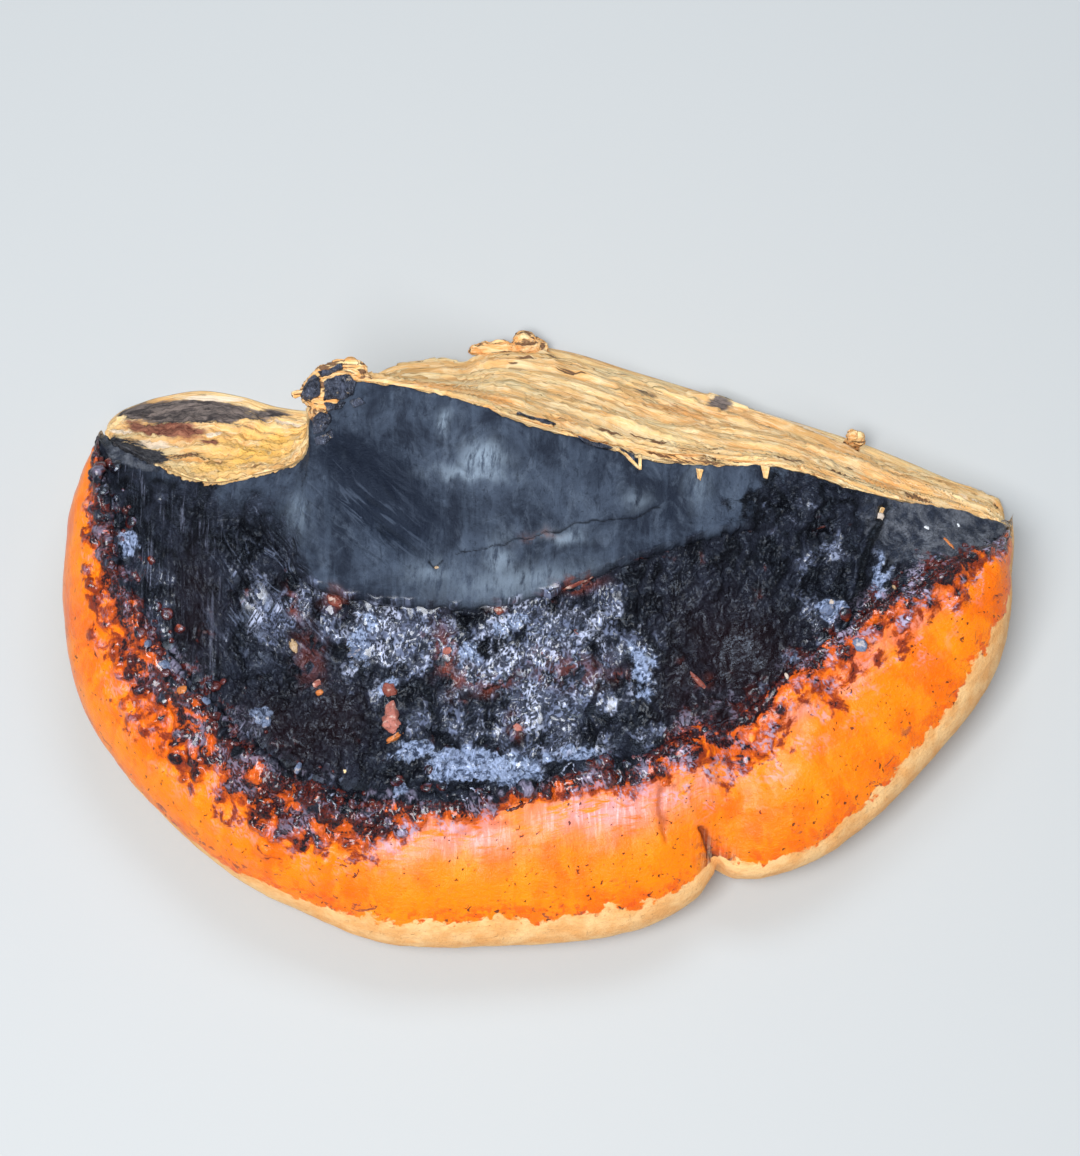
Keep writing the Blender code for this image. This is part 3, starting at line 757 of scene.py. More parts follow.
def crust_shell(name, grids, thickness):
    """A closed shell of crust from grids of places side by side, with round edges and a coarser inner side."""
    top = np.concatenate([places for places, _ in grids], 1)
    readings = {key: np.concatenate([values[key] for _, values in grids], 1) for key in grids[0][1]}
    narrow = near_corners(np.linspace(0, 1, len(top)))[:, None]
    thickness = np.interp(np.linspace(0, 1, top.shape[1]), *zip(*thickness))
    thickness = np.broadcast_to(thickness, top.shape[:2]) * narrow
    normal = outward(top)
    rings, picks = [top], [np.arange(top.shape[1])]
    for end, before, first in ((-1, -2, True), (0, 1, False)):
        away = top[:, end] - top[:, before]
        away = away / np.maximum(np.linalg.norm(away, axis=-1, keepdims=True), 1e-9)
        edge = []
        for turn in EDGE_TURNS:
            out, down = math.sin(math.radians(turn)) * EDGE_BULGE, (1 - math.cos(math.radians(turn))) / 2
            edge.append(top[:, end] + (away * out - normal[:, end] * down) * thickness[:, end][:, None])
        rings.append(np.stack(edge if first else edge[::-1], 1))
        picks.append(np.full(len(edge), top.shape[1] - 1 if first else 0))
        if first:
            inner = np.linspace(top.shape[1] - 2, 1, INNER_COLUMNS).astype(int)
            rings.append((top - normal * thickness[..., None])[:, inner])
            picks.append(inner)
    picks = np.concatenate(picks)
    is_outer = [np.ones(top.shape[1]), EDGE_RELIEF, np.zeros(INNER_COLUMNS), EDGE_RELIEF[::-1]]
    readings = {key: values[:, picks] for key, values in readings.items()}
    readings["outer"] = np.concatenate(is_outer) * readings.pop("held")
    return lofted(name, np.concatenate(rings, 1), readings)


def ragged(shares, size, least, most, seed):
    """An uneven edge: how far in mm it stands out or back at each share of the way round."""
    along = shares * ROUND_LENGTH
    wave = soft_noise(along, along * 0, seed, size) * 0.6
    wave = wave + soft_noise(along, along * 0 + 5, seed, size / 3.1) * 0.4
    return (least + (most - least) * np.clip(wave + 0.5, 0, 1))[:, None]


shares = np.arange(1, OLD_COLUMNS) / OLD_COLUMNS
old_length = np.maximum(strip_length(shares, "old"), 1)
torn_back = ragged(shares, 7, 0, 1.0, 3.0)
torn_back = torn_back + ragged(shares, 1.9, 0, 1.1, 4.0) * smooth_step(0.36, 0.30, shares)[:, None]
torn_back = torn_back * near_corners(shares)[:, None] / old_length
ledge_out = ragged(shares, 13, -1.6, 1.6, 5.0) * ledge_shows(shares)[:, None] / old_length
across = torn_back + np.linspace(0, 1, OLD_ACROSS) * (1 + ledge_out - torn_back)
places = swollen(cap_places(shares, "old", across))
old_crust = crust_shell("old_crust", [(places, crust_readings(shares, "old", across, places))], OLD_THICKNESS)

shares = np.arange(1, BLACK_COLUMNS) / BLACK_COLUMNS
hanging = smooth_step(0.30, 0.38, shares) * smooth_step(0.68, 0.62, shares)
overhang = (ragged(shares, 14, -1.0, 4.0, 8.0) * hanging[:, None] + 0.3) * near_corners(shares)[:, None]
black_length = np.maximum(strip_length(shares, "black"), 6)
across = np.linspace(0, 1, BLACK_ACROSS) * (1 + BLACK_TUCK + overhang / black_length) - BLACK_TUCK
places = swollen(cap_places(shares, "black", across))
under_old = smooth_step(0.0, -BLACK_TUCK, across) * near_corners(shares)[:, None]
places[..., 2] += under_old * (BLACK_RISE - LEDGE_DIP * ledge_shows(shares)[:, None])
grids = [(places, crust_readings(shares, "black", across, places, overhang))]
black_crust = crust_shell("black_crust", grids, BLACK_THICKNESS)

shares = np.arange(1, BELT_COLUMNS) / BELT_COLUMNS
across = np.broadcast_to(np.linspace(-BELT_TUCK, 1, BELT_ACROSS, endpoint=False), (len(shares), BELT_ACROSS))
places = cap_places(shares, "belt", across)
places[..., 2] -= BELT_DIP * smooth_step(0.01, -0.03, across)
under_across = np.broadcast_to(np.linspace(0, 1, ROLL_ACROSS), (len(shares), ROLL_ACROSS))
under = under_roll_places(shares, under_across)
grids = [(places, crust_readings(shares, "belt", across, places)),
         (under, crust_readings(shares, "roll", under_across, under))]
orange_belt = crust_shell("orange_belt", grids, BELT_THICKNESS)

# Where the crust is resin it is crumpled like tar: wrinkled along the growth lines in the middle,
# streaked across them on the left and lumpy on the right. The old crust and the belt are only waved.
# The tree keeps the crests, the raised lumps and the beads, so that the colours, with their painted highlights
# and shade, can follow them.
crust_tree, surface, size = relief_tree(
    "crust_relief",
    {"Fold Height": 2.6, "Heap Height": 3.0, "Ring Height": 1.6, "Wrinkle Height": 0.6, "Crest Height": 0.75,
     "Blister Height": 0.7, "Streak Height": 1.3, "Lump Height": 1.5, "Bead Height": 1.6, "Wave Height": 1.2,
     "Dent Height": 0.7, "Comb Height": 0.8, "Ripple Height": 0.5, "Grit Height": 0.3},
)
growth, comb, outer, streaked, lumpy, turned, tarred, valley, smooth = measured(
    crust_tree, "growth comb outer streaked lumpy turned tarred valley smooth"
)
ringed, combed, cracked, hollow = measured(crust_tree, "ringed combed crack hollow")
past_ledge = growth.axes()[2]
where = places_in_mm(crust_tree)
crumpled = 1 - streaked - lumpy
uneven = 1 - smooth * 0.9
calm = 1 - valley * 0.75
busy = mottle(where, 8, 2).between(0.36, 0.58) * 0.7 + 0.3
belted = turned.between(0.7, 1.4)
turning = turned.between(-0.3, 0.2) * turned.between(1.3, 0.7) * uneven
resin = (past_ledge.between(-0.5, 3.0) + tarred).combined("MINIMUM", 1) * turned.between(1.0, 0.3) * uneven
dull = past_ledge.between(0.5, -3.0) * (1 - tarred.combined("MINIMUM", 1))

first = (mottle(growth, (13, 7, FLAT), 2, 0.5, 0.8) - 0.5) * size["Fold Height"] * resin
raised = mottle(where, (5.0, 6.5, 6.5), 3, 0.55, 0.9)
first = first + (raised - 0.5) * size["Heap Height"] * resin * (crumpled + lumpy * 0.5 + turning * 0.3) * calm
rings = veins(mottle(growth, (20, 3.4, FLAT), 2, 0.5, 0.8), 0.14, 0.0)
first = first + rings * size["Ring Height"] * ringed * uneven * turned.between(0.6, 0.2)
combs = mottle(comb, (13, 1.9, FLAT), 3, 0.55, 0.9)
first = first + swing(combs, size["Comb Height"]) * combed * dull
first = first + swing(mottle(where, (1.7, 17, 17), 3, 0.6, 0.5), size["Streak Height"]) * resin * streaked
first = first + swing(mottle(where, (2.6, 4.6, 4.6), 2, 0.6, 0.7), size["Lump Height"]) * resin * lumpy * calm
blisters = cells(where, 2.3, smooth=0.35).between(0.75, 0.2)
first = first + blisters * size["Blister Height"] * resin * crumpled * busy * calm
beads = cells(where, 4.0, smooth=0.25).between(0.70, 0.15) * mottle(where, 7, 2).between(0.40, 0.52)
beads = beads * turned.between(-0.4, 0.1) * turned.between(1.4, 0.8) * uneven * (1 - lumpy * 0.5)
first = first + beads * size["Bead Height"]
first = first + (mottle(where, 15, 2) - 0.5) * size["Wave Height"] * (belted + dull)
first = first + (mottle(where, (4.5, 26, 26), 2) - 0.5) * size["Dent Height"] * (dull + belted * 0.6)
first = first - cracked - hollow * 0.6

wrinkles = mottle(growth, (3.2, 1.2, FLAT), 3, 0.6, 1.2)
long_lines = veins(mottle(growth, (4.2, 2.4, FLAT), 2, 0.5, 1.2), 0.055, 0.005)
curled_lines = veins(mottle(where, (2.2, 2.8, 2.8), 1, 0.5, 1.8), 0.06, 0.01)
crests = long_lines.combined("MAXIMUM", curled_lines)
crested = resin.combined("MAXIMUM", turning) * (1 - streaked * 0.7) * (1 - lumpy * 0.4) * (busy * 0.7 + 0.3)
second = swing(wrinkles, size["Wrinkle Height"]) * crumpled + crests * size["Crest Height"] * crested
second = second * resin * busy
second = second + swing(mottle(where, 1.25, 3, 0.65), size["Grit Height"]) * resin * (busy * 0.6 + 0.4)
second = second + swing(mottle(where, (3.2, 1.3, 1.3), 3, 0.55, 1.0), size["Ripple Height"]) * turning
second = second + (mottle(growth, (9, 1.6, FLAT), 2) - 0.5) * size["Ripple Height"] * 0.4 * belted
second = (second + (mottle(where, 1.2, 3, 0.6) - 0.5) * 0.16 * dull) * calm
surface = kept(kept(kept(surface, "crest", crests), "raised", raised), "beaded", beads)
surface = raised_by(surface, first * outer)
surface = raised_by(surface, second * outer)
close_tree(surface)

# Its colours follow the growth lines too, and wander across them in patches. Under the colours of the
# three growths lie the same readings: how far the crust has turned orange, and how dull it is.
# Painted highlights, sheen, sky reflections and shade lie among these colours.
crust, tree, shader = painted("crust")
growth, comb, crest, raised, beaded, streaked, lumpy, turned, ledged, tarred, smooth, glinting = measured(
    tree, "growth comb crest raised beaded streaked lumpy turned ledged tarred smooth glinting"
)
valley, blued, pinkish, ringed, rust, cracked, cream, cleft, hollow, combed, bloom, tip = measured(
    tree, "valley blued pinkish ringed rust crack cream cleft hollow combed bloom tip"
)
_, past_belt_edge, past_ledge = growth.axes()
where = places_in_mm(tree)
big, mid, fine = mottle(where, 9, 3, 0.6), mottle(where, 3.6, 4, 0.58, 0.5), mottle(where, 0.6, 4, 0.65)
crinkle = veins(mottle(growth, (2.6, 1.2, FLAT), 3, 0.6, 1.6), 0.055, 0.005)
crests = (crest + (fine - 0.5) * 0.9).between(0.35, 0.75).combined("MAXIMUM", crinkle * 0.55)
streaks = mottle(where, (0.9, 14, 14), 4, 0.65, 0.6)
scuffs = mottle(where, (1.4, 4, 4), 5, 0.7, 0.9)
patch = mottle(where, (7, 10, 10), 3, 0.6, 0.5) + (raised - 0.5) * 0.5
# Painted highlights: a bluish sheen in patches, brightest where the glints are strong.
sheen = (patch + (glinting - 0.7) * 0.30).between(0.44, 0.60) * (1 - valley * 0.95)
strong = mottle(where, 5, 3, 0.6).between(0.48, 0.62) * glinting
rings = veins(mottle(growth, (20, 3.4, FLAT), 2, 0.5, 0.8), 0.045, 0.0)
rusty = rust * mid.between(0.40, 0.52) + big.between(0.58, 0.68) * mid.between(0.54, 0.66) * 0.4
sky_reflection_here = (blued + (mid - 0.5) * 1.5 + (raised - 0.5) * 1.0).between(0.42, 0.62)
sky_reflection_grain = (mottle(where, 1.6, 4, 0.65, 0.8) + crest * 0.16).between(0.44, 0.62)
grey_here = (smooth + (mid - 0.5) * 0.8).between(0.4, 0.6)
dust = mottle(where, 4, 5, 0.7, 0.4).between(0.38, 0.62)
grey = colour_mix(dust, (0.024, 0.028, 0.042), (0.13, 0.135, 0.155))
resin_black = layered(
    # The base is painted shade: darker where the resin lies low, lighter where it is raised.
    colour_mix(raised.between(0.38, 0.62), (0.003, 0.003, 0.005), (0.017, 0.019, 0.030)),
    # A painted bluish sheen.
    (sheen * mid.between(0.46, 0.62) * 0.8, (0.060, 0.068, 0.105)),
    # Painted glints along the crests, paler and bluer where they are strong.
    (crests * sheen * (1 - streaked * 0.7), colour_mix(strong, (0.13, 0.15, 0.23), (0.50, 0.53, 0.68))),
    (ringed * rings * 0.8 * mid.between(0.42, 0.6), (0.17, 0.20, 0.29)),
    # Grey streaks on the left, partly painted bluish glints.
    (streaked * streaks.between(0.55, 0.66) * big.between(0.36, 0.60), (0.105, 0.112, 0.155)),
    (rusty, (0.24, 0.052, 0.030)),
    # Painted shade: the valley is painted near black.
    (valley * 0.9, (0.010, 0.003, 0.003)),
    # Painted blue sky reflections in patches on the smooth resin.
    (sky_reflection_here, colour_mix(sky_reflection_grain, (0.045, 0.060, 0.105), (0.29, 0.35, 0.51))),
    (grey_here * past_ledge.between(14, 8), grey),
    (cracked.between(0.2, 0.8) * 0.9, (0.003, 0.003, 0.004)),
)

maroon = colour_mix((fine + mid * 0.5).between(0.68, 0.82), (0.010, 0.003, 0.005), (0.11, 0.014, 0.007))
deep_orange = colour_mix(mid.between(0.4, 0.6), (0.26, 0.030, 0.005), (0.66, 0.10, 0.003))
blotch = mottle(where, 5, 5, 0.7, 0.6).between(0.58, 0.64) * cream.between(-11, -3)
# The pink streaks below are a painted sheen on the lacquer.
pink_wave = mottle(growth, (5, 0.9, FLAT), 4, 0.65, 0.8) + (big - 0.5) * 0.5
pale_streak = mottle(where, (0.9, 9, 9), 4, 0.6, 0.8).between(0.50, 0.62)
dots = mottle(where, 1.3, 3, 0.5, 0.5).between(0.655, 0.695) * mottle(where, 7, 3).between(0.42, 0.50)
pink = colour_mix(pale_streak, (0.72, 0.28, 0.24), (0.88, 0.47, 0.45))
ripe = layered(
    colour_mix(mottle(where, 16, 4, 0.6).between(0.36, 0.56), (0.86, 0.145, 0.0008), (0.98, 0.220, 0.001)),
    (mottle(growth, (6, 16, FLAT), 4, 0.6, 0.4).between(0.48, 0.66) * 0.6, (1.0, 0.285, 0.004)),
    (mottle(where, 4.5, 5, 0.7, 0.5).between(0.60, 0.72) * 0.6, (0.66, 0.095, 0.003)),
    (blotch * 0.85, (0.22, 0.05, 0.03)),
    (cream.between(-7, -1) * mottle(where, 3, 5, 0.7).between(0.5, 0.6) * 0.8, (0.78, 0.09, 0.004)),
    (pinkish * pink_wave.between(0.34, 0.56) * 0.9, pink),
    (dots * 0.9, (0.09, 0.018, 0.010)),
)

combs = mottle(comb, (13, 1.9, FLAT), 4, 0.6, 0.9)
cloud = mottle(where, 12, 5, 0.66, 0.6).between(0.36, 0.64)
slate = layered(
    colour_mix(cloud, (0.010, 0.013, 0.023), (0.044, 0.057, 0.084)),
    (mottle(where, (5, 8, 8), 5, 0.7, 0.8).between(0.50, 0.66) * 0.4, (0.095, 0.118, 0.158)),
    (mottle(where, (2, 26, 26), 4, 0.6).between(0.50, 0.66) * 0.22, (0.080, 0.105, 0.148)),
    (scuffs.between(0.54, 0.66) * 0.5, (0.008, 0.010, 0.018)),
    (mottle(where, 1.1, 4, 0.7, 0.5).between(0.58, 0.68) * 0.5, (0.006, 0.008, 0.014)),
    # Painted shade in the hollows.
    ((hollow + (scuffs - 0.5) * 0.8).between(0.2, 0.7) * 0.9, (0.007, 0.010, 0.020)),
    (combed * combs.between(0.54, 0.64) * 0.6, (0.070, 0.088, 0.125)),
    (combed * combs.between(0.44, 0.36) * 0.8, (0.005, 0.007, 0.013)),
    # A painted pale sheen on the hump.
    (bloom * mottle(growth, (3, 7, FLAT), 5, 0.7).between(0.34, 0.56) * 0.9, (0.27, 0.33, 0.40)),
    (rust * mid.between(0.40, 0.52), (0.16, 0.07, 0.05)),
    (grey_here * (1 - ledged), grey),
    (cracked.between(0.05, 0.35), (0.004, 0.004, 0.006)),
)

edge = turned + (big - 0.5) * 1.3 + (mid - 0.5) * 1.3 + (fine - 0.5) * 0.35 - beaded * 0.35 - 0.04
orange = edge.between(0.5, 0.8)
# Painted lavender highlights on the crests and on the tops of beads, where the crust turns orange.
lavender_glint = crests.combined("MAXIMUM", beaded.between(0.7, 0.95))
lavender_glint = lavender_glint * turned.between(-0.2, 0.3) * turned.between(1.5, 0.7)
lavender_glint = lavender_glint * mottle(where, 5, 3).between(0.48, 0.62) * (0.40 + lumpy * 0.30 + pinkish * 0.5)
lavender_glint = lavender_glint * (1 - valley * 0.9)
dull = (past_ledge + (mid - 0.5) * (14 - ledged * 12)).between(0.8, (1 - ledged) * -12 - 0.8)
dull = dull * (1 - (tarred + (mid - 0.5) * 1.6).between(0.3, 0.6))
growing = (cream + (mid - 0.5) * 9 + (big - 0.5) * 9).between(-0.4, 0.4)
grey_tip = (tip + (mid - 0.5) * 0.8).between(0.4, 0.6) * past_belt_edge.between(3, -1)
striped = colour_mix(streaks.between(0.45, 0.6), (0.05, 0.022, 0.016), (0.42, 0.30, 0.20))
colour = layered(
    resin_black,
    (edge.between(0.02, 0.22), maroon),
    (edge.between(0.44, 0.56), deep_orange),
    (edge.between(0.66, 0.90), ripe),
    # Painted shade: the valley stays near black where the crust turns orange too.
    (valley * edge.between(0.5, 0.3) * 0.95, (0.007, 0.002, 0.003)),
    (lavender_glint, (0.42, 0.36, 0.50)),
    (cracked.between(0.0, 0.9) * turned.between(0.5, 1) * 0.8, (0.22, 0.030, 0.008)),
    (cleft * mid.between(0.36, 0.5), striped),
    (dull, slate),
    (growing, colour_mix(mottle(where, 6, 4, 0.6).between(0.35, 0.65), (0.88, 0.42, 0.135), (1.0, 0.60, 0.26))),
    (grey_tip, (0.36, 0.28, 0.21)),
)
matt = colour_mix(mottle(where, 3, 3).between(0.4, 0.6) * 0.7 + streaked * 0.5, (0.22,) * 3, (0.46,) * 3)
rough = layered(matt, (orange, (0.30,) * 3), (dull, (0.56,) * 3), (growing, (0.62,) * 3))
wet = (sheen * 0.6 + blued * 0.3 + 0.05 + edge.between(-0.15, 0.2) * 0.5) * (1 - valley * 0.9)
wet = layered(wet.combined("MINIMUM", 1), (orange, (0.10,) * 3), (dull + growing, (0.0,) * 3))
height = (crests * 0.22 + mid * 0.5 + fine * 0.16) * (1 - dull) * (1 - orange * 0.75) * (1 - valley * 0.6)
height = height + (fine * 0.12 - dots * 0.2) * orange + (fine * 0.28 + mid * 0.2 - scuffs * 0.3) * dull
coated(
    shader,
    {"Base Color": colour, "Specular IOR Level": 0.22, "Specular Tint": (0.66, 0.80, 1.0), "Roughness": rough,
     "Coat Weight": wet, "Coat Roughness": 0.15},
    height,
)

for piece in (old_crust, black_crust, orange_belt):
    grown(piece, crust_tree, crust)
    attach(piece, "root")
    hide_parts("conk")


# A flap of old crust still hangs on over the left end of the tear: torn flesh with broken plates of
# crust on top. A knot and a peg of flesh stand on the tear's far edge. Each is a lump of the same tissue.
SCRAPS = {
    "flap_flesh": [((-46.2, 41, 58.6), (8.2, 5.2, 4.6), (-14, -6, 14)),
                   ((-53.0, 39.6, 59.3), (2.9, 1.0, 1.0), (0, 0, 12)),
                   ((-46.5, 44.9, 60.3), (4.2, 1.9, 1.8), (0, -10, 10)),
                   ((-38.9, 39.8, 59.4), (2.6, 4.0, 3.4), (0, 0, 0)),
                   ((-41.6, 45.4, 60.4), (3.2, 1.9, 1.9), (0, 10, -20)),
                   ((-49.2, 35.4, 55), (3.0, 3.4, 5.5), (0, 0, 0))],
    "flesh_knot": [((-2.9, 76.4, 4.6), (3.8, 3.0, 3.5), (0, 0, -20)),
                   ((-11, 75.2, 4.3), (6.4, 2.3, 2.5), (0, 0, 3)),
                   ((0.5, 76, 3.4), (1.8, 2, 2.4), (0, 0, 0))],
    "flesh_peg": [((77, 49.2, 4.4), (2.3, 2.0, 4.6), (-12, 0, 0)),
                  ((76.5, 49.7, 8.4), (1.6, 1.7, 2.6), (0, 0, 0)),
                  ((78.3, 49.5, 7.8), (1.8, 1.8, 2.5), (0, 0, 0))],
}
# How large the cells are from which the lumps' skin is made.
SCRAP_FINENESS = 0.28

scrap_tree, surface, size = relief_tree("scrap_relief", {"Lump Height": 1.5, "Fibre Height": 0.9})
where = places_in_mm(scrap_tree)
surface = raised_by(surface, swing(mottle(where, 4.5, 2), size["Lump Height"]))
surface = raised_by(surface, swing(mottle(where, (3.6, 0.9, 0.9), 4, 0.65, 0.6), size["Fibre Height"]))
close_tree(surface)


def to_scene(place):
    """A place in mm, as the scene has it."""
    return (Vector(place) - Vector(MIDDLE)) * MM


def joined_lumps(name, lumps, fineness):
    """Rounded lumps grown together into one closed skin. Each is (middle, radii, turn in degrees)."""
    form = bmesh.new()
    for middle, radii, turn in lumps:
        place = Matrix.Translation(to_scene(middle))
        place @= Euler([math.radians(angle) for angle in turn]).to_matrix().to_4x4()
        place @= Matrix.Diagonal((*(radius * MM for radius in radii), 1))
        bmesh.ops.create_icosphere(form, subdivisions=4, radius=1, matrix=place)
    made = linked(name, shaped(name, form))
    skin = made.modifiers.new("skin", "REMESH")
    skin.mode, skin.voxel_size = "VOXEL", fineness * MM
    made.data = evaluated(made)
    made.modifiers.clear()
    return made


for name, lumps in SCRAPS.items():
    scrap = joined_lumps(name, lumps, SCRAP_FINENESS)
    spots = points_in_mm(scrap.data)
    store(scrap.data, "grain", spots[:, [0, 2, 1]])
    store(scrap.data, "browned", np.full(len(spots), 0.5))
    store(scrap.data, "stained", np.full(len(spots), 0.7))
    grown(scrap, scrap_tree, torn_flesh)
    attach(scrap, "root")
    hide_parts("conk")

# Plates of old crust: thin, hard and cracked from each other. They lie on the flap, and two of them
# still cling to the torn edge of the cap. Each outline is in mm, seen from above.
PLATES = {
    "flap_plates": [
        ([(-53.9, 38.7), (-52.8, 41.3), (-50.9, 43.1), (-49.3, 41.6), (-49.2, 37.9), (-51.4, 36.8)], 0.9, 0.5),
        ([(-48.3, 40.7), (-45.2, 41.9), (-42.2, 42.2), (-41.2, 40.4), (-41.6, 37.8), (-44.3, 36.6),
          (-48.2, 37.0)], 1.0, 0.5),
        ([(-49.8, 43.4), (-47.2, 44.2), (-44.4, 45.5), (-44.2, 43.8), (-46.7, 42.6), (-49.0, 42.1)], 0.8, 0.3),
        ([(-48.6, 36.4), (-46.2, 36.0), (-43.4, 36.2), (-44.4, 34.9), (-47.6, 34.8)], 0.7, 0.2),
        ([(-42.6, 36.3), (-40.2, 36.8), (-39.0, 35.6), (-41.6, 34.8)], 0.7, 0.3),
        ([(-51.4, 33.2), (-49.4, 34.4), (-47.0, 34.3), (-46.8, 32.6), (-48.6, 31.0), (-51.0, 31.0)], 0.7, 0.2),
        ([(-50.9, 30.2), (-48.6, 30.4), (-46.6, 31.4), (-46.4, 29.8), (-48.6, 28.6), (-50.4, 28.8)], 0.6, 0.1),
    ],
    "edge_plates": [
        ([(-5.0, 34.6), (-2.6, 35.6), (-0.4, 34.5), (-1.2, 33.2), (-4.6, 33.4)], 0.8, 0.9),
        ([(-0.8, 34.8), (2.0, 34.9), (4.2, 33.6), (3.6, 32.4), (0.2, 32.9)], 0.8, 0.8),
        ([(9, 28.4), (13, 28.4), (17, 27.6), (16, 26.2), (11, 26.6)], 0.7, 0.5),
        ([(18.4, 27.2), (21.8, 26.6), (22.0, 23.4), (20.6, 24.2)], 0.6, 0.3),
    ],
    "edge_splinters": [
        ([(17.4, 26.7), (22.7, 22.0), (23.4, 22.1), (18.0, 27.1)], 0.5, 0.5),
        ([(22.7, 26.2), (22.8, 21.9), (23.5, 21.9), (23.5, 26.3)], 0.5, 0.5),
        ([(-13, 36.6), (-6, 36.4), (0, 35.4), (-6, 34.6)], 0.6, 0.3),
        ([(-4, 32.9), (2, 32.4), (6, 31.6), (2, 31.6)], 0.5, 0.4),
        ([(5, 30.6), (14, 30.1), (20, 29.4), (13, 29.2)], 0.6, 0.7),
        ([(20, 29.6), (30, 28.9), (38, 27.8), (30, 27.8)], 0.6, 0.7),
        ([(27, 25.8), (36, 25.0), (44, 24.6), (36, 24.2)], 0.6, 0.3),
        ([(42, 27.4), (50, 27.6), (56, 26.4), (49, 26.2)], 0.6, 0.6),
        ([(52, 25.6), (60, 25.0), (66, 24.2), (58, 24.0)], 0.6, 0.3),
        ([(35.9, 23.0), (37.6, 22.8), (37.0, 20.6), (36.2, 20.8)], 0.7, 0.4),
        ([(50.8, 24.8), (53.0, 24.6), (52.4, 21.8), (51.4, 22.2)], 0.7, 0.4),
        ([(59.5, 27.6), (61.2, 28.2), (61.6, 25.0), (60.2, 24.8)], 0.7, 0.4),
    ],
}
PLATE_SIDES, PLATE_RINGS = 72, 12


def surface_under(pieces):
    """A function that gives the highest place and normal of some pieces over a spot, in mm."""
    trees = []
    for piece in pieces:
        form = bmesh.new()
        form.from_mesh(piece.data)
        trees.append(BVHTree.FromBMesh(form))
        form.free()

    def found(x, y):
        start = Vector(((x - MIDDLE[0]) * MM, (y - MIDDLE[1]) * MM, 0.2))
        hits = [tree.ray_cast(start, Vector((0, 0, -1))) for tree in trees]
        hits = [(hit[0], hit[1]) for hit in hits if hit[0]]
        if not hits:
            return None
        place, normal = max(hits, key=lambda hit: hit[0].z)
        return np.array(place) / MM + MIDDLE, np.array(normal)

    return found


def plate(form, outline, thickness, lift, under):
    """Adds a thin plate with a ragged outline, which lies on the surface under it with a slight curl."""
    outline = np.array(outline)
    heart = outline.mean(0)
    around = np.vstack([outline, outline[:1]])
    steps = np.concatenate([[0], np.linalg.norm(np.diff(around, axis=0), axis=1).cumsum()])
    spots = np.linspace(0, steps[-1], PLATE_SIDES, endpoint=False)
    x, y = (np.interp(spots, steps, column) for column in around.T)
    jag = 1 + 0.10 * soft_noise(x, y, heart[0], 1.3) + 0.05 * soft_noise(x, y, heart[1], 0.5)
    edge = heart + (np.stack([x, y], -1) - heart) * jag[:, None]
    level = (under(*heart) or (np.array([0, 0, 50.0]), None))[0][2]
    tops, floors = [], []
    for ring in range(PLATE_RINGS + 1):
        share = ring / PLATE_RINGS
        for x, y in heart + (edge - heart) * share:
            hit = under(x, y)
            z = max(hit[0][2], level - 4) if hit else level - 2
            bumpy = 0.35 * noise.noise(Vector((x, y, 3)) / 1.1) + 0.2 * noise.noise(Vector((x, y, 7)) / 0.45)
            rounded = thickness * math.sqrt(max(0, 1 - share**8)) * 0.5
            middle = z + lift + bumpy + share * share * 0.3
            tops.append((x, y, middle + rounded))
            floors.append((x, y, middle - thickness * 0.5 - 0.8 + 0.8 * share**3))
            if ring == 0:
                break
    rims = []
    for places in (tops, floors):
        hub, *rest = [form.verts.new(to_scene(place)) for place in places]
        for side in range(PLATE_SIDES):
            nearby = (side + 1) % PLATE_SIDES
            form.faces.new((hub, rest[side], rest[nearby]))
            for a in range(0, (PLATE_RINGS - 1) * PLATE_SIDES, PLATE_SIDES):
                b = a + PLATE_SIDES
                form.faces.new((rest[a + side], rest[b + side], rest[b + nearby], rest[a + nearby]))
        rims.append(rest[-PLATE_SIDES:])
    for side in range(PLATE_SIDES):
        (a, b), (c, d) = [(rims[0][at], rims[1][at]) for at in (side, (side + 1) % PLATE_SIDES)]
        form.faces.new((a, b, d, c))


plate_crust, tree, shader = painted("plate_crust")
where = places_in_mm(tree)
worn = mottle(where, 1.4, 5, 0.7, 0.5)
scored = veins(mottle(where, (1.2, 3.4, 1.6), 4, 0.6, 1.2), 0.07, 0.0)
cloud = mottle(where, 2.6, 5, 0.65, 0.5).between(0.38, 0.60)
colour = layered(
    colour_mix(cloud, (0.006, 0.007, 0.014), (0.075, 0.085, 0.125)),
    (scored * worn.between(0.40, 0.56), (0.19, 0.21, 0.28)),
    (worn.between(0.60, 0.68) * 0.9, (0.42, 0.32, 0.22)),
)
coated(
    shader,
    {"Base Color": colour, "Roughness": 0.42, "Specular IOR Level": 0.35},
    worn * 0.6 + scored * 0.4 + mottle(where, 0.5, 4, 0.65) * 0.3,
)

cap_top = surface_under([bpy.data.objects[name] for name in ("flap_flesh", "flesh", "old_crust")])
for name, outlines in PLATES.items():
    form = bmesh.new()
    for outline, thickness, lift in outlines:
        plate(form, outline, thickness, lift, cap_top)
    bmesh.ops.recalc_face_normals(form, faces=form.faces)
    mesh = shaped(name, form)
    if name == "edge_splinters":
        mesh.materials.append(torn_flesh)
        store(mesh, "grain", points_in_mm(mesh))
    else:
        mesh.materials.append(plate_crust)
    plates = linked(name, mesh)
    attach(plates, "root")
    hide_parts("conk")

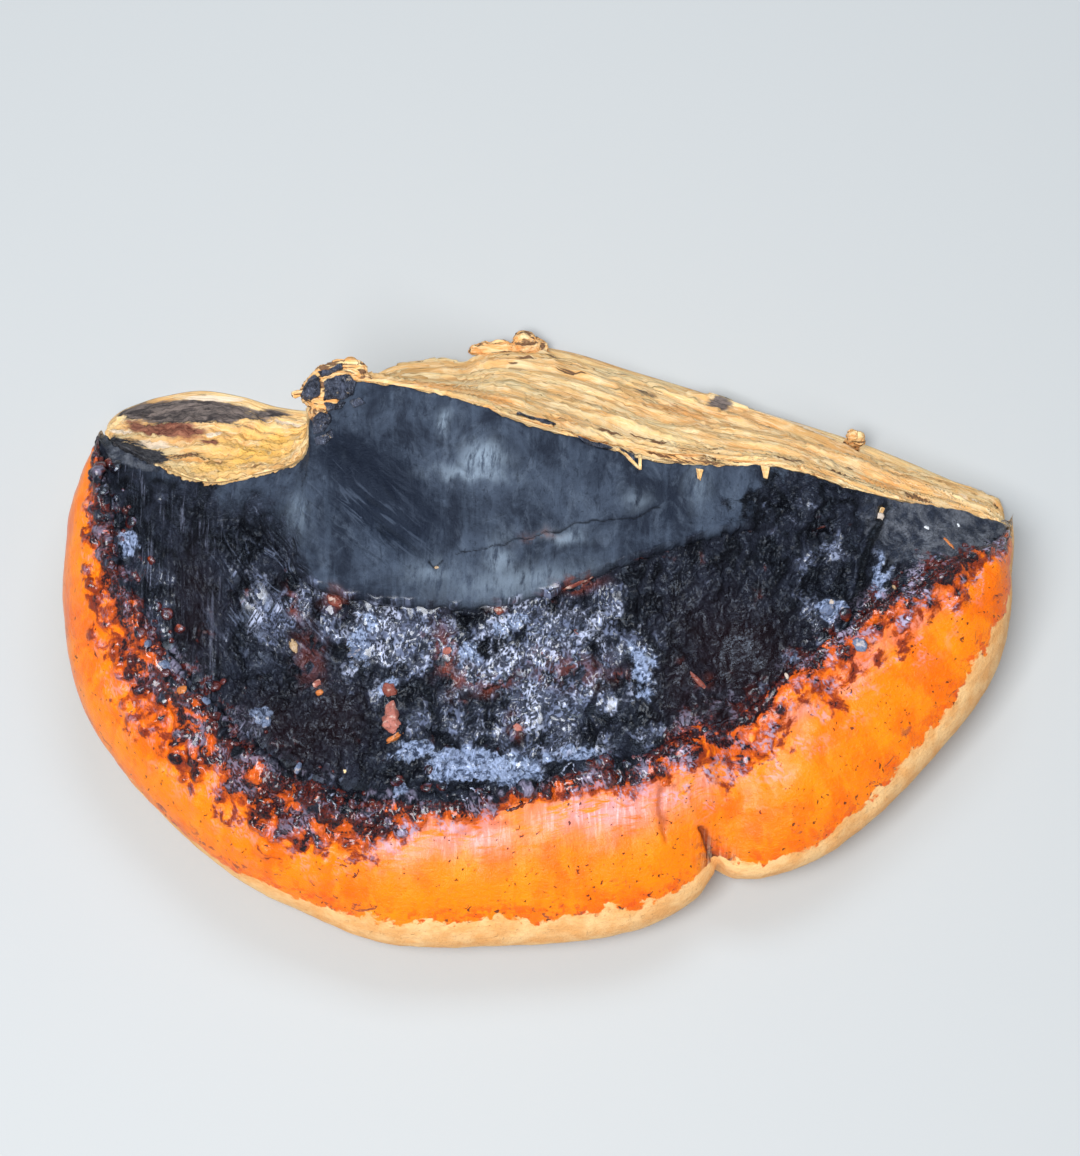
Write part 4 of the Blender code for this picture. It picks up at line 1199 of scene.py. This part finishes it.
# Drops of fresh resin sweated out where the belt meets the black crust, and hardened to glossy beads.
# They are scattered over the growing edge: most on the left, few in the middle.
resin_bead, tree, shader = painted("resin_bead")
where = places_in_mm(tree)
tone = mottle(where, 3.2, 2, 0.5)
colour = layered(
    colour_mix(tone.between(0.42, 0.56), (0.006, 0.005, 0.009), (0.085, 0.012, 0.008)),
    (tone.between(0.62, 0.70), (0.30, 0.05, 0.008)),
    # Painted bluish highlights on the beads.
    (mottle(where, 1.4, 3, 0.6, 0.8).between(0.56, 0.70) * 0.7, (0.20, 0.22, 0.33)),
)
coated(
    shader,
    {"Base Color": colour, "Roughness": 0.26, "Specular Tint": (0.75, 0.86, 1.0), "Coat Weight": 0.5,
     "Coat Roughness": 0.12},
    mottle(where, 0.9, 3) * 0.35,
)

bead_tree, ground, size = relief_tree(
    "resin_beads",
    {"Beads Per Square Metre": 90000, "Smallest": 0.35, "Largest": 1.9, "Flatness": 0.5, "Unevenness": 0.8,
     "Start": -12, "End": 3},
)
growth, streaked, outer = measured(bead_tree, "growth streaked outer")
past_belt_edge = growth.axes()[1]
where = places_in_mm(bead_tree)
here = past_belt_edge.between(size["Start"], size["Start"] + 4)
here = here * past_belt_edge.between(size["End"], size["End"] - 4)
here = here * streaked.combined("MAXIMUM", 0.25) * outer.between(0.5, 1)
here = here * mottle(where, 7, 2).between(0.42, 0.56)
density = here * size["Beads Per Square Metre"]
spots = added(bead_tree, "GeometryNodeDistributePointsOnFaces", {"Mesh": ground, "Density": density, "Seed": 4})
drop = added(bead_tree, "GeometryNodeMeshIcoSphere", {"Radius": MM, "Subdivisions": 2})
girth = added(bead_tree, "FunctionNodeRandomValue", {"Seed": 9}, 1)
girth = girth * girth * girth * (size["Largest"] - size["Smallest"]) + size["Smallest"]
shape = added(bead_tree, "ShaderNodeCombineXYZ", {"X": girth, "Y": girth, "Z": girth * size["Flatness"]})
inputs = {"Points": spots, "Instance": drop, "Rotation": spots.other("Rotation"), "Scale": shape}
beads = added(bead_tree, "GeometryNodeInstanceOnPoints", inputs)
beads = added(bead_tree, "GeometryNodeRealizeInstances", {0: beads})
close_tree(raised_by(beads, swing(mottle(where, 1.6, 3, 0.6), size["Unevenness"])))
for name, crust_piece in (("belt_beads", orange_belt), ("crust_beads", black_crust)):
    beads = linked(name, crust_piece.data.copy())
    grown(beads, bead_tree, resin_bead)
    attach(beads, "root")
    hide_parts("conk")

# Where the resin wrinkled as it dried it also threw up thin curled folds: large loops along the lip,
# and small crooked ridges over the middle. Each is a short curve that lies on the crust, made round.
resin_fold, tree, shader = painted("resin_fold")
where = places_in_mm(tree)
# The pale bluish patches on the folds are painted highlights.
fold_glint = mottle(where, 1.6, 4, 0.65)
colour = colour_mix(fold_glint.between(0.46, 0.62), (0.010, 0.010, 0.016), (0.36, 0.39, 0.52))
colour = colour_mix(mottle(where, 5, 3, 0.6).between(0.56, 0.64), colour, (0.30, 0.08, 0.05))
coated(
    shader,
    {"Base Color": colour, "Roughness": 0.25, "Coat Weight": 0.4, "Coat Roughness": 0.12},
    fold_glint * 0.2,
)

fold_tree, ground, size = relief_tree(
    "resin_folds",
    {"Folds Per Square Metre": 60000, "Loop Radius": 1.3, "Sweep": 3.9, "Thickness": 0.22, "Crookedness": 1.4,
     "Start": -5, "End": 1.5, "Middle": 0},
)
growth, glinting, smooth, outer = measured(fold_tree, "growth glinting smooth outer")
round_cap, past_belt_edge, _ = growth.axes()
where = places_in_mm(fold_tree)
at_lip = past_belt_edge.between(size["Start"], size["Start"] + 2)
at_lip = at_lip * past_belt_edge.between(size["End"], size["End"] - 2)
at_lip = at_lip * round_cap.between(105, 120) * round_cap.between(212, 200) * (1 - size["Middle"])
in_middle = (glinting - smooth).between(0.95, 1.15) * size["Middle"]
here = (at_lip + in_middle) * outer.between(0.5, 1) * mottle(where, 7, 2).between(0.40, 0.56)
density = here * size["Folds Per Square Metre"]
spots = added(fold_tree, "GeometryNodeDistributePointsOnFaces", {"Mesh": ground, "Density": density, "Seed": 7})
inputs = {"Resolution": 12, "Radius": size["Loop Radius"] * MM, "Sweep Angle": size["Sweep"]}
arc = added(fold_tree, "GeometryNodeCurveArc", inputs)
inputs = {"Min": (0, 0, -3.14), "Max": (0, 0, 3.14), "Seed": 3}
spin = added(fold_tree, "FunctionNodeRandomValue", inputs, data_type="FLOAT_VECTOR")
inputs = {0: spots.other("Rotation"), 1: spin}
turned_by = added(fold_tree, "FunctionNodeRotateRotation", inputs, rotation_space="LOCAL")
girth = added(fold_tree, "FunctionNodeRandomValue", {"Min": 0.45, "Max": 1.3, "Seed": 5}, 1)
inputs = {"Points": spots, "Instance": arc, "Rotation": turned_by, "Scale": girth}
loops = added(fold_tree, "GeometryNodeInstanceOnPoints", inputs)
loops = added(fold_tree, "GeometryNodeRealizeInstances", {0: loops})
wander = mottle(where, 2, 2, 0.5).other("Color")
wander = added(fold_tree, "ShaderNodeVectorMath", {0: wander, 1: (0.5, 0.5, 0.5)}, operation="SUBTRACT")
inputs = {0: wander, "Scale": size["Crookedness"] * 2 * MM}
crooked = added(fold_tree, "ShaderNodeVectorMath", inputs, operation="SCALE")
bent = added(fold_tree, "GeometryNodeSetPosition", {"Geometry": loops, "Offset": crooked})
nearest = added(fold_tree, "GeometryNodeProximity", {0: ground}, "Position")
laid = added(fold_tree, "GeometryNodeSetPosition", {"Geometry": bent, "Position": nearest})
ring = added(fold_tree, "GeometryNodeCurvePrimitiveCircle", {"Resolution": 5, "Radius": size["Thickness"] * MM})
inputs = {"Curve": laid, "Profile Curve": ring, "Fill Caps": True}
close_tree(added(fold_tree, "GeometryNodeCurveToMesh", inputs))
FOLDS = {
    "lip_folds": {"Folds_Per_Square_Metre": 110000, "Loop_Radius": 1.4, "Thickness": 0.26},
    "middle_folds": {"Folds_Per_Square_Metre": 70000, "Loop_Radius": 1.2, "Sweep": 2.2, "Thickness": 0.15,
                     "Middle": 1},
}
for name, sizes in FOLDS.items():
    folds = linked(name, black_crust.data.copy())
    grown(folds, fold_tree, resin_fold, **sizes)
    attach(folds, "root")
    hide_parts("conk")

# Chips and flakes that stuck to the crust while it was soft: chips of wood and drops of amber resin.
# The white lumps are painted highlights and the blue ones painted sky reflections. Each is a small
# uneven lump, pressed a little into the crust.
CHIP_COLOURS = {
    "tan": (0.42, 0.27, 0.14), "pink": (0.46, 0.15, 0.11), "amber": (0.55, 0.16, 0.03),
    # The white colour is a painted highlight and the blue a painted sky reflection.
    "beige": (0.62, 0.50, 0.41), "white_glint": (0.80, 0.81, 0.84), "blue_reflection": (0.13, 0.165, 0.26),
    "rust": (0.24, 0.055, 0.035),
}
# Kind of chip, x, y, half length, half width, half height and turn in degrees.
CHIPS = [
    ("rust", -46.3, -4.4, 1.9, 1.3, 0.5, 20), ("rust", 9.1, -1.8, 3.4, 0.7, 0.4, 8),
    ("rust", -9, -7.2, 1.2, 0.9, 0.4, 0), ("pink", -4.8, -32.4, 0.8, 1.5, 0.4, 15),
    ("rust", 36.6, -22, 2.6, 0.6, 0.3, 83), ("tan", -55.8, -13.4, 1.9, 0.9, 0.5, -30),
    ("pink", -50, -22.5, 0.8, 1.9, 0.4, 10), ("amber", -49.6, -24.6, 0.7, 0.9, 0.4, 0),
    ("rust", -33.6, -24.2, 1.6, 1.7, 0.8, 0), ("pink", -33.2, -28.6, 1.6, 4.4, 1.5, 4),
    ("pink", -33.0, -32.0, 1.9, 2.4, 1.7, 0), ("amber", -32.6, -35.2, 2.2, 0.9, 0.7, 10),
    ("beige", 78.9, 16.8, 1.4, 1.1, 0.6, 70), ("white_glint", 89.9, 15.1, 0.7, 0.5, 0.3, 0),
    ("white_glint", 97.8, 16.9, 0.5, 0.3, 0.2, 0), ("amber", 95, 11.5, 1.8, 0.4, 0.2, 5),
    ("amber", -80.5, -24.9, 1.2, 1.0, 0.5, -20), ("blue_reflection", -61.4, -31.6, 1.0, 1.4, 0.6, 0),
    ("blue_reflection", 65.8, -6.5, 1.6, 1.2, 0.5, 0), ("blue_reflection", 69.8, -5.4, 1.2, 0.9, 0.4, 0),
    ("blue_reflection", 73, -14.4, 1.9, 1.3, 0.4, 20), ("tan", -23, 1.5, 0.4, 0.7, 0.3, 10),
    ("tan", 81.5, -0.6, 0.4, 0.7, 0.3, 0), ("beige", 67, -4.4, 0.6, 0.5, 0.4, 0),
    ("beige", 56.4, -21.8, 0.4, 0.8, 0.3, 0), ("pink", -20.9, -15.5, 0.8, 2.0, 0.3, 10),
    ("blue_reflection", -41.8, -15.6, 1.6, 2.4, 0.5, 12), ("blue_reflection", 58, -17.2, 1.2, 0.9, 0.4, 30),
    ("blue_reflection", -88.6, -14, 0.8, 1.5, 0.5, 30), ("blue_reflection", -84.6, -18.6, 1.2, 1.5, 0.5, -20),
    ("blue_reflection", -75, -27, 1.2, 0.9, 0.5, 20), ("blue_reflection", -54, -42.4, 1.3, 0.9, 0.5, 0),
]

chip_skin, tree, shader = painted("chip_skin")
where = places_in_mm(tree)
patches = mottle(where, 0.8, 4, 0.65)
colour = layered(
    measured(tree, "tint"),
    (patches.between(0.54, 0.70) * 0.7, (0.02, 0.016, 0.02)),
    (mottle(where, 1.5, 3).between(0.54, 0.68) * 0.5, (0.90, 0.72, 0.60)),
)
coated(shader, {"Base Color": colour, "Roughness": 0.28}, patches * 0.5)

crust_top = surface_under([old_crust, black_crust, orange_belt])
form = bmesh.new()
tints = []
for kind, x, y, long, wide, high, turn in CHIPS:
    place, normal = crust_top(x, y)
    lean = Vector(normal).to_track_quat("Z", "Y").to_matrix().to_4x4()
    spin = Euler((0, 0, math.radians(turn))).to_matrix().to_4x4()
    stretch = Matrix.Diagonal((long * MM, wide * MM, high * MM, 1))
    at = Matrix.Translation(to_scene(place)) @ lean @ spin @ stretch
    lump = bmesh.ops.create_icosphere(form, subdivisions=3, radius=1)
    for vert in lump["verts"]:
        vert.co *= 1 + 0.4 * noise.noise(vert.co * 1.7 + Vector((x, y, 0)))
        vert.co = at @ vert.co
    tints += [CHIP_COLOURS[kind]] * len(lump["verts"])
mesh = shaped("chips", form)
store(mesh, "tint", np.array(tints))
mesh.materials.append(chip_skin)
chips = linked("chips", mesh)
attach(chips, "root")
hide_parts("conk")


# The conk is shown on a plain pale floor, under a large soft light above it and a weaker, cooler one
# behind it, from the photograph's viewing angle.
FLOOR_HALF = 3
floor = linked("floor", bpy.data.meshes.new("floor"))
corners = [(x * FLOOR_HALF, y * FLOOR_HALF, 0) for x, y in ((-1, -1), (1, -1), (1, 1), (-1, 1))]
floor.data.from_pydata(corners, [], [(0, 1, 2, 3)])
floor_paint, tree, shader = painted("floor_paint")
shader.inputs["Base Color"].default_value = (0.48, 0.48, 0.47, 1)
shader.inputs["Roughness"].default_value = 0.9
floor.data.materials.append(floor_paint)


def softbox(name, at, size, power, colour):
    """A rectangular light that faces the middle of the conk's foot."""
    data = bpy.data.lights.new(name, "AREA")
    data.shape = "RECTANGLE"
    data.size, data.size_y = size
    data.energy = power
    data.color = colour
    made = linked(name, data)
    made.location = at
    made.rotation_euler = (Vector(at) * -1).to_track_quat("-Z", "Y").to_euler()


softbox("overhead_light", (-0.20, -0.36, 0.95), (0.5, 0.45), 13.5, (0.93, 0.96, 1))
softbox("back_light", (0.12, 0.55, 0.95), (0.6, 0.35), 4.5, (0.74, 0.87, 1))
room = bpy.data.worlds.new("room")
bpy.context.scene.world = room
room.use_nodes = True
room.node_tree.nodes["Background"].inputs["Color"].default_value = (0.88, 0.94, 1, 1)
room.node_tree.nodes["Background"].inputs["Strength"].default_value = 0.32

ELEVATION, DISTANCE, LENS = math.radians(70), 0.70, 93.7
LOOKED_AT = Vector((0, 0.0044, 0.030))
camera = linked("camera", bpy.data.cameras.new("camera"))
camera.data.lens = LENS
camera.data.clip_start, camera.data.clip_end = 0.01, 20
looking = Vector((0, math.cos(ELEVATION), -math.sin(ELEVATION)))
camera.location = LOOKED_AT - looking * DISTANCE
camera.rotation_euler = looking.to_track_quat("-Z", "Y").to_euler()
bpy.context.scene.camera = camera
bpy.context.scene.view_settings.view_transform = "Standard"
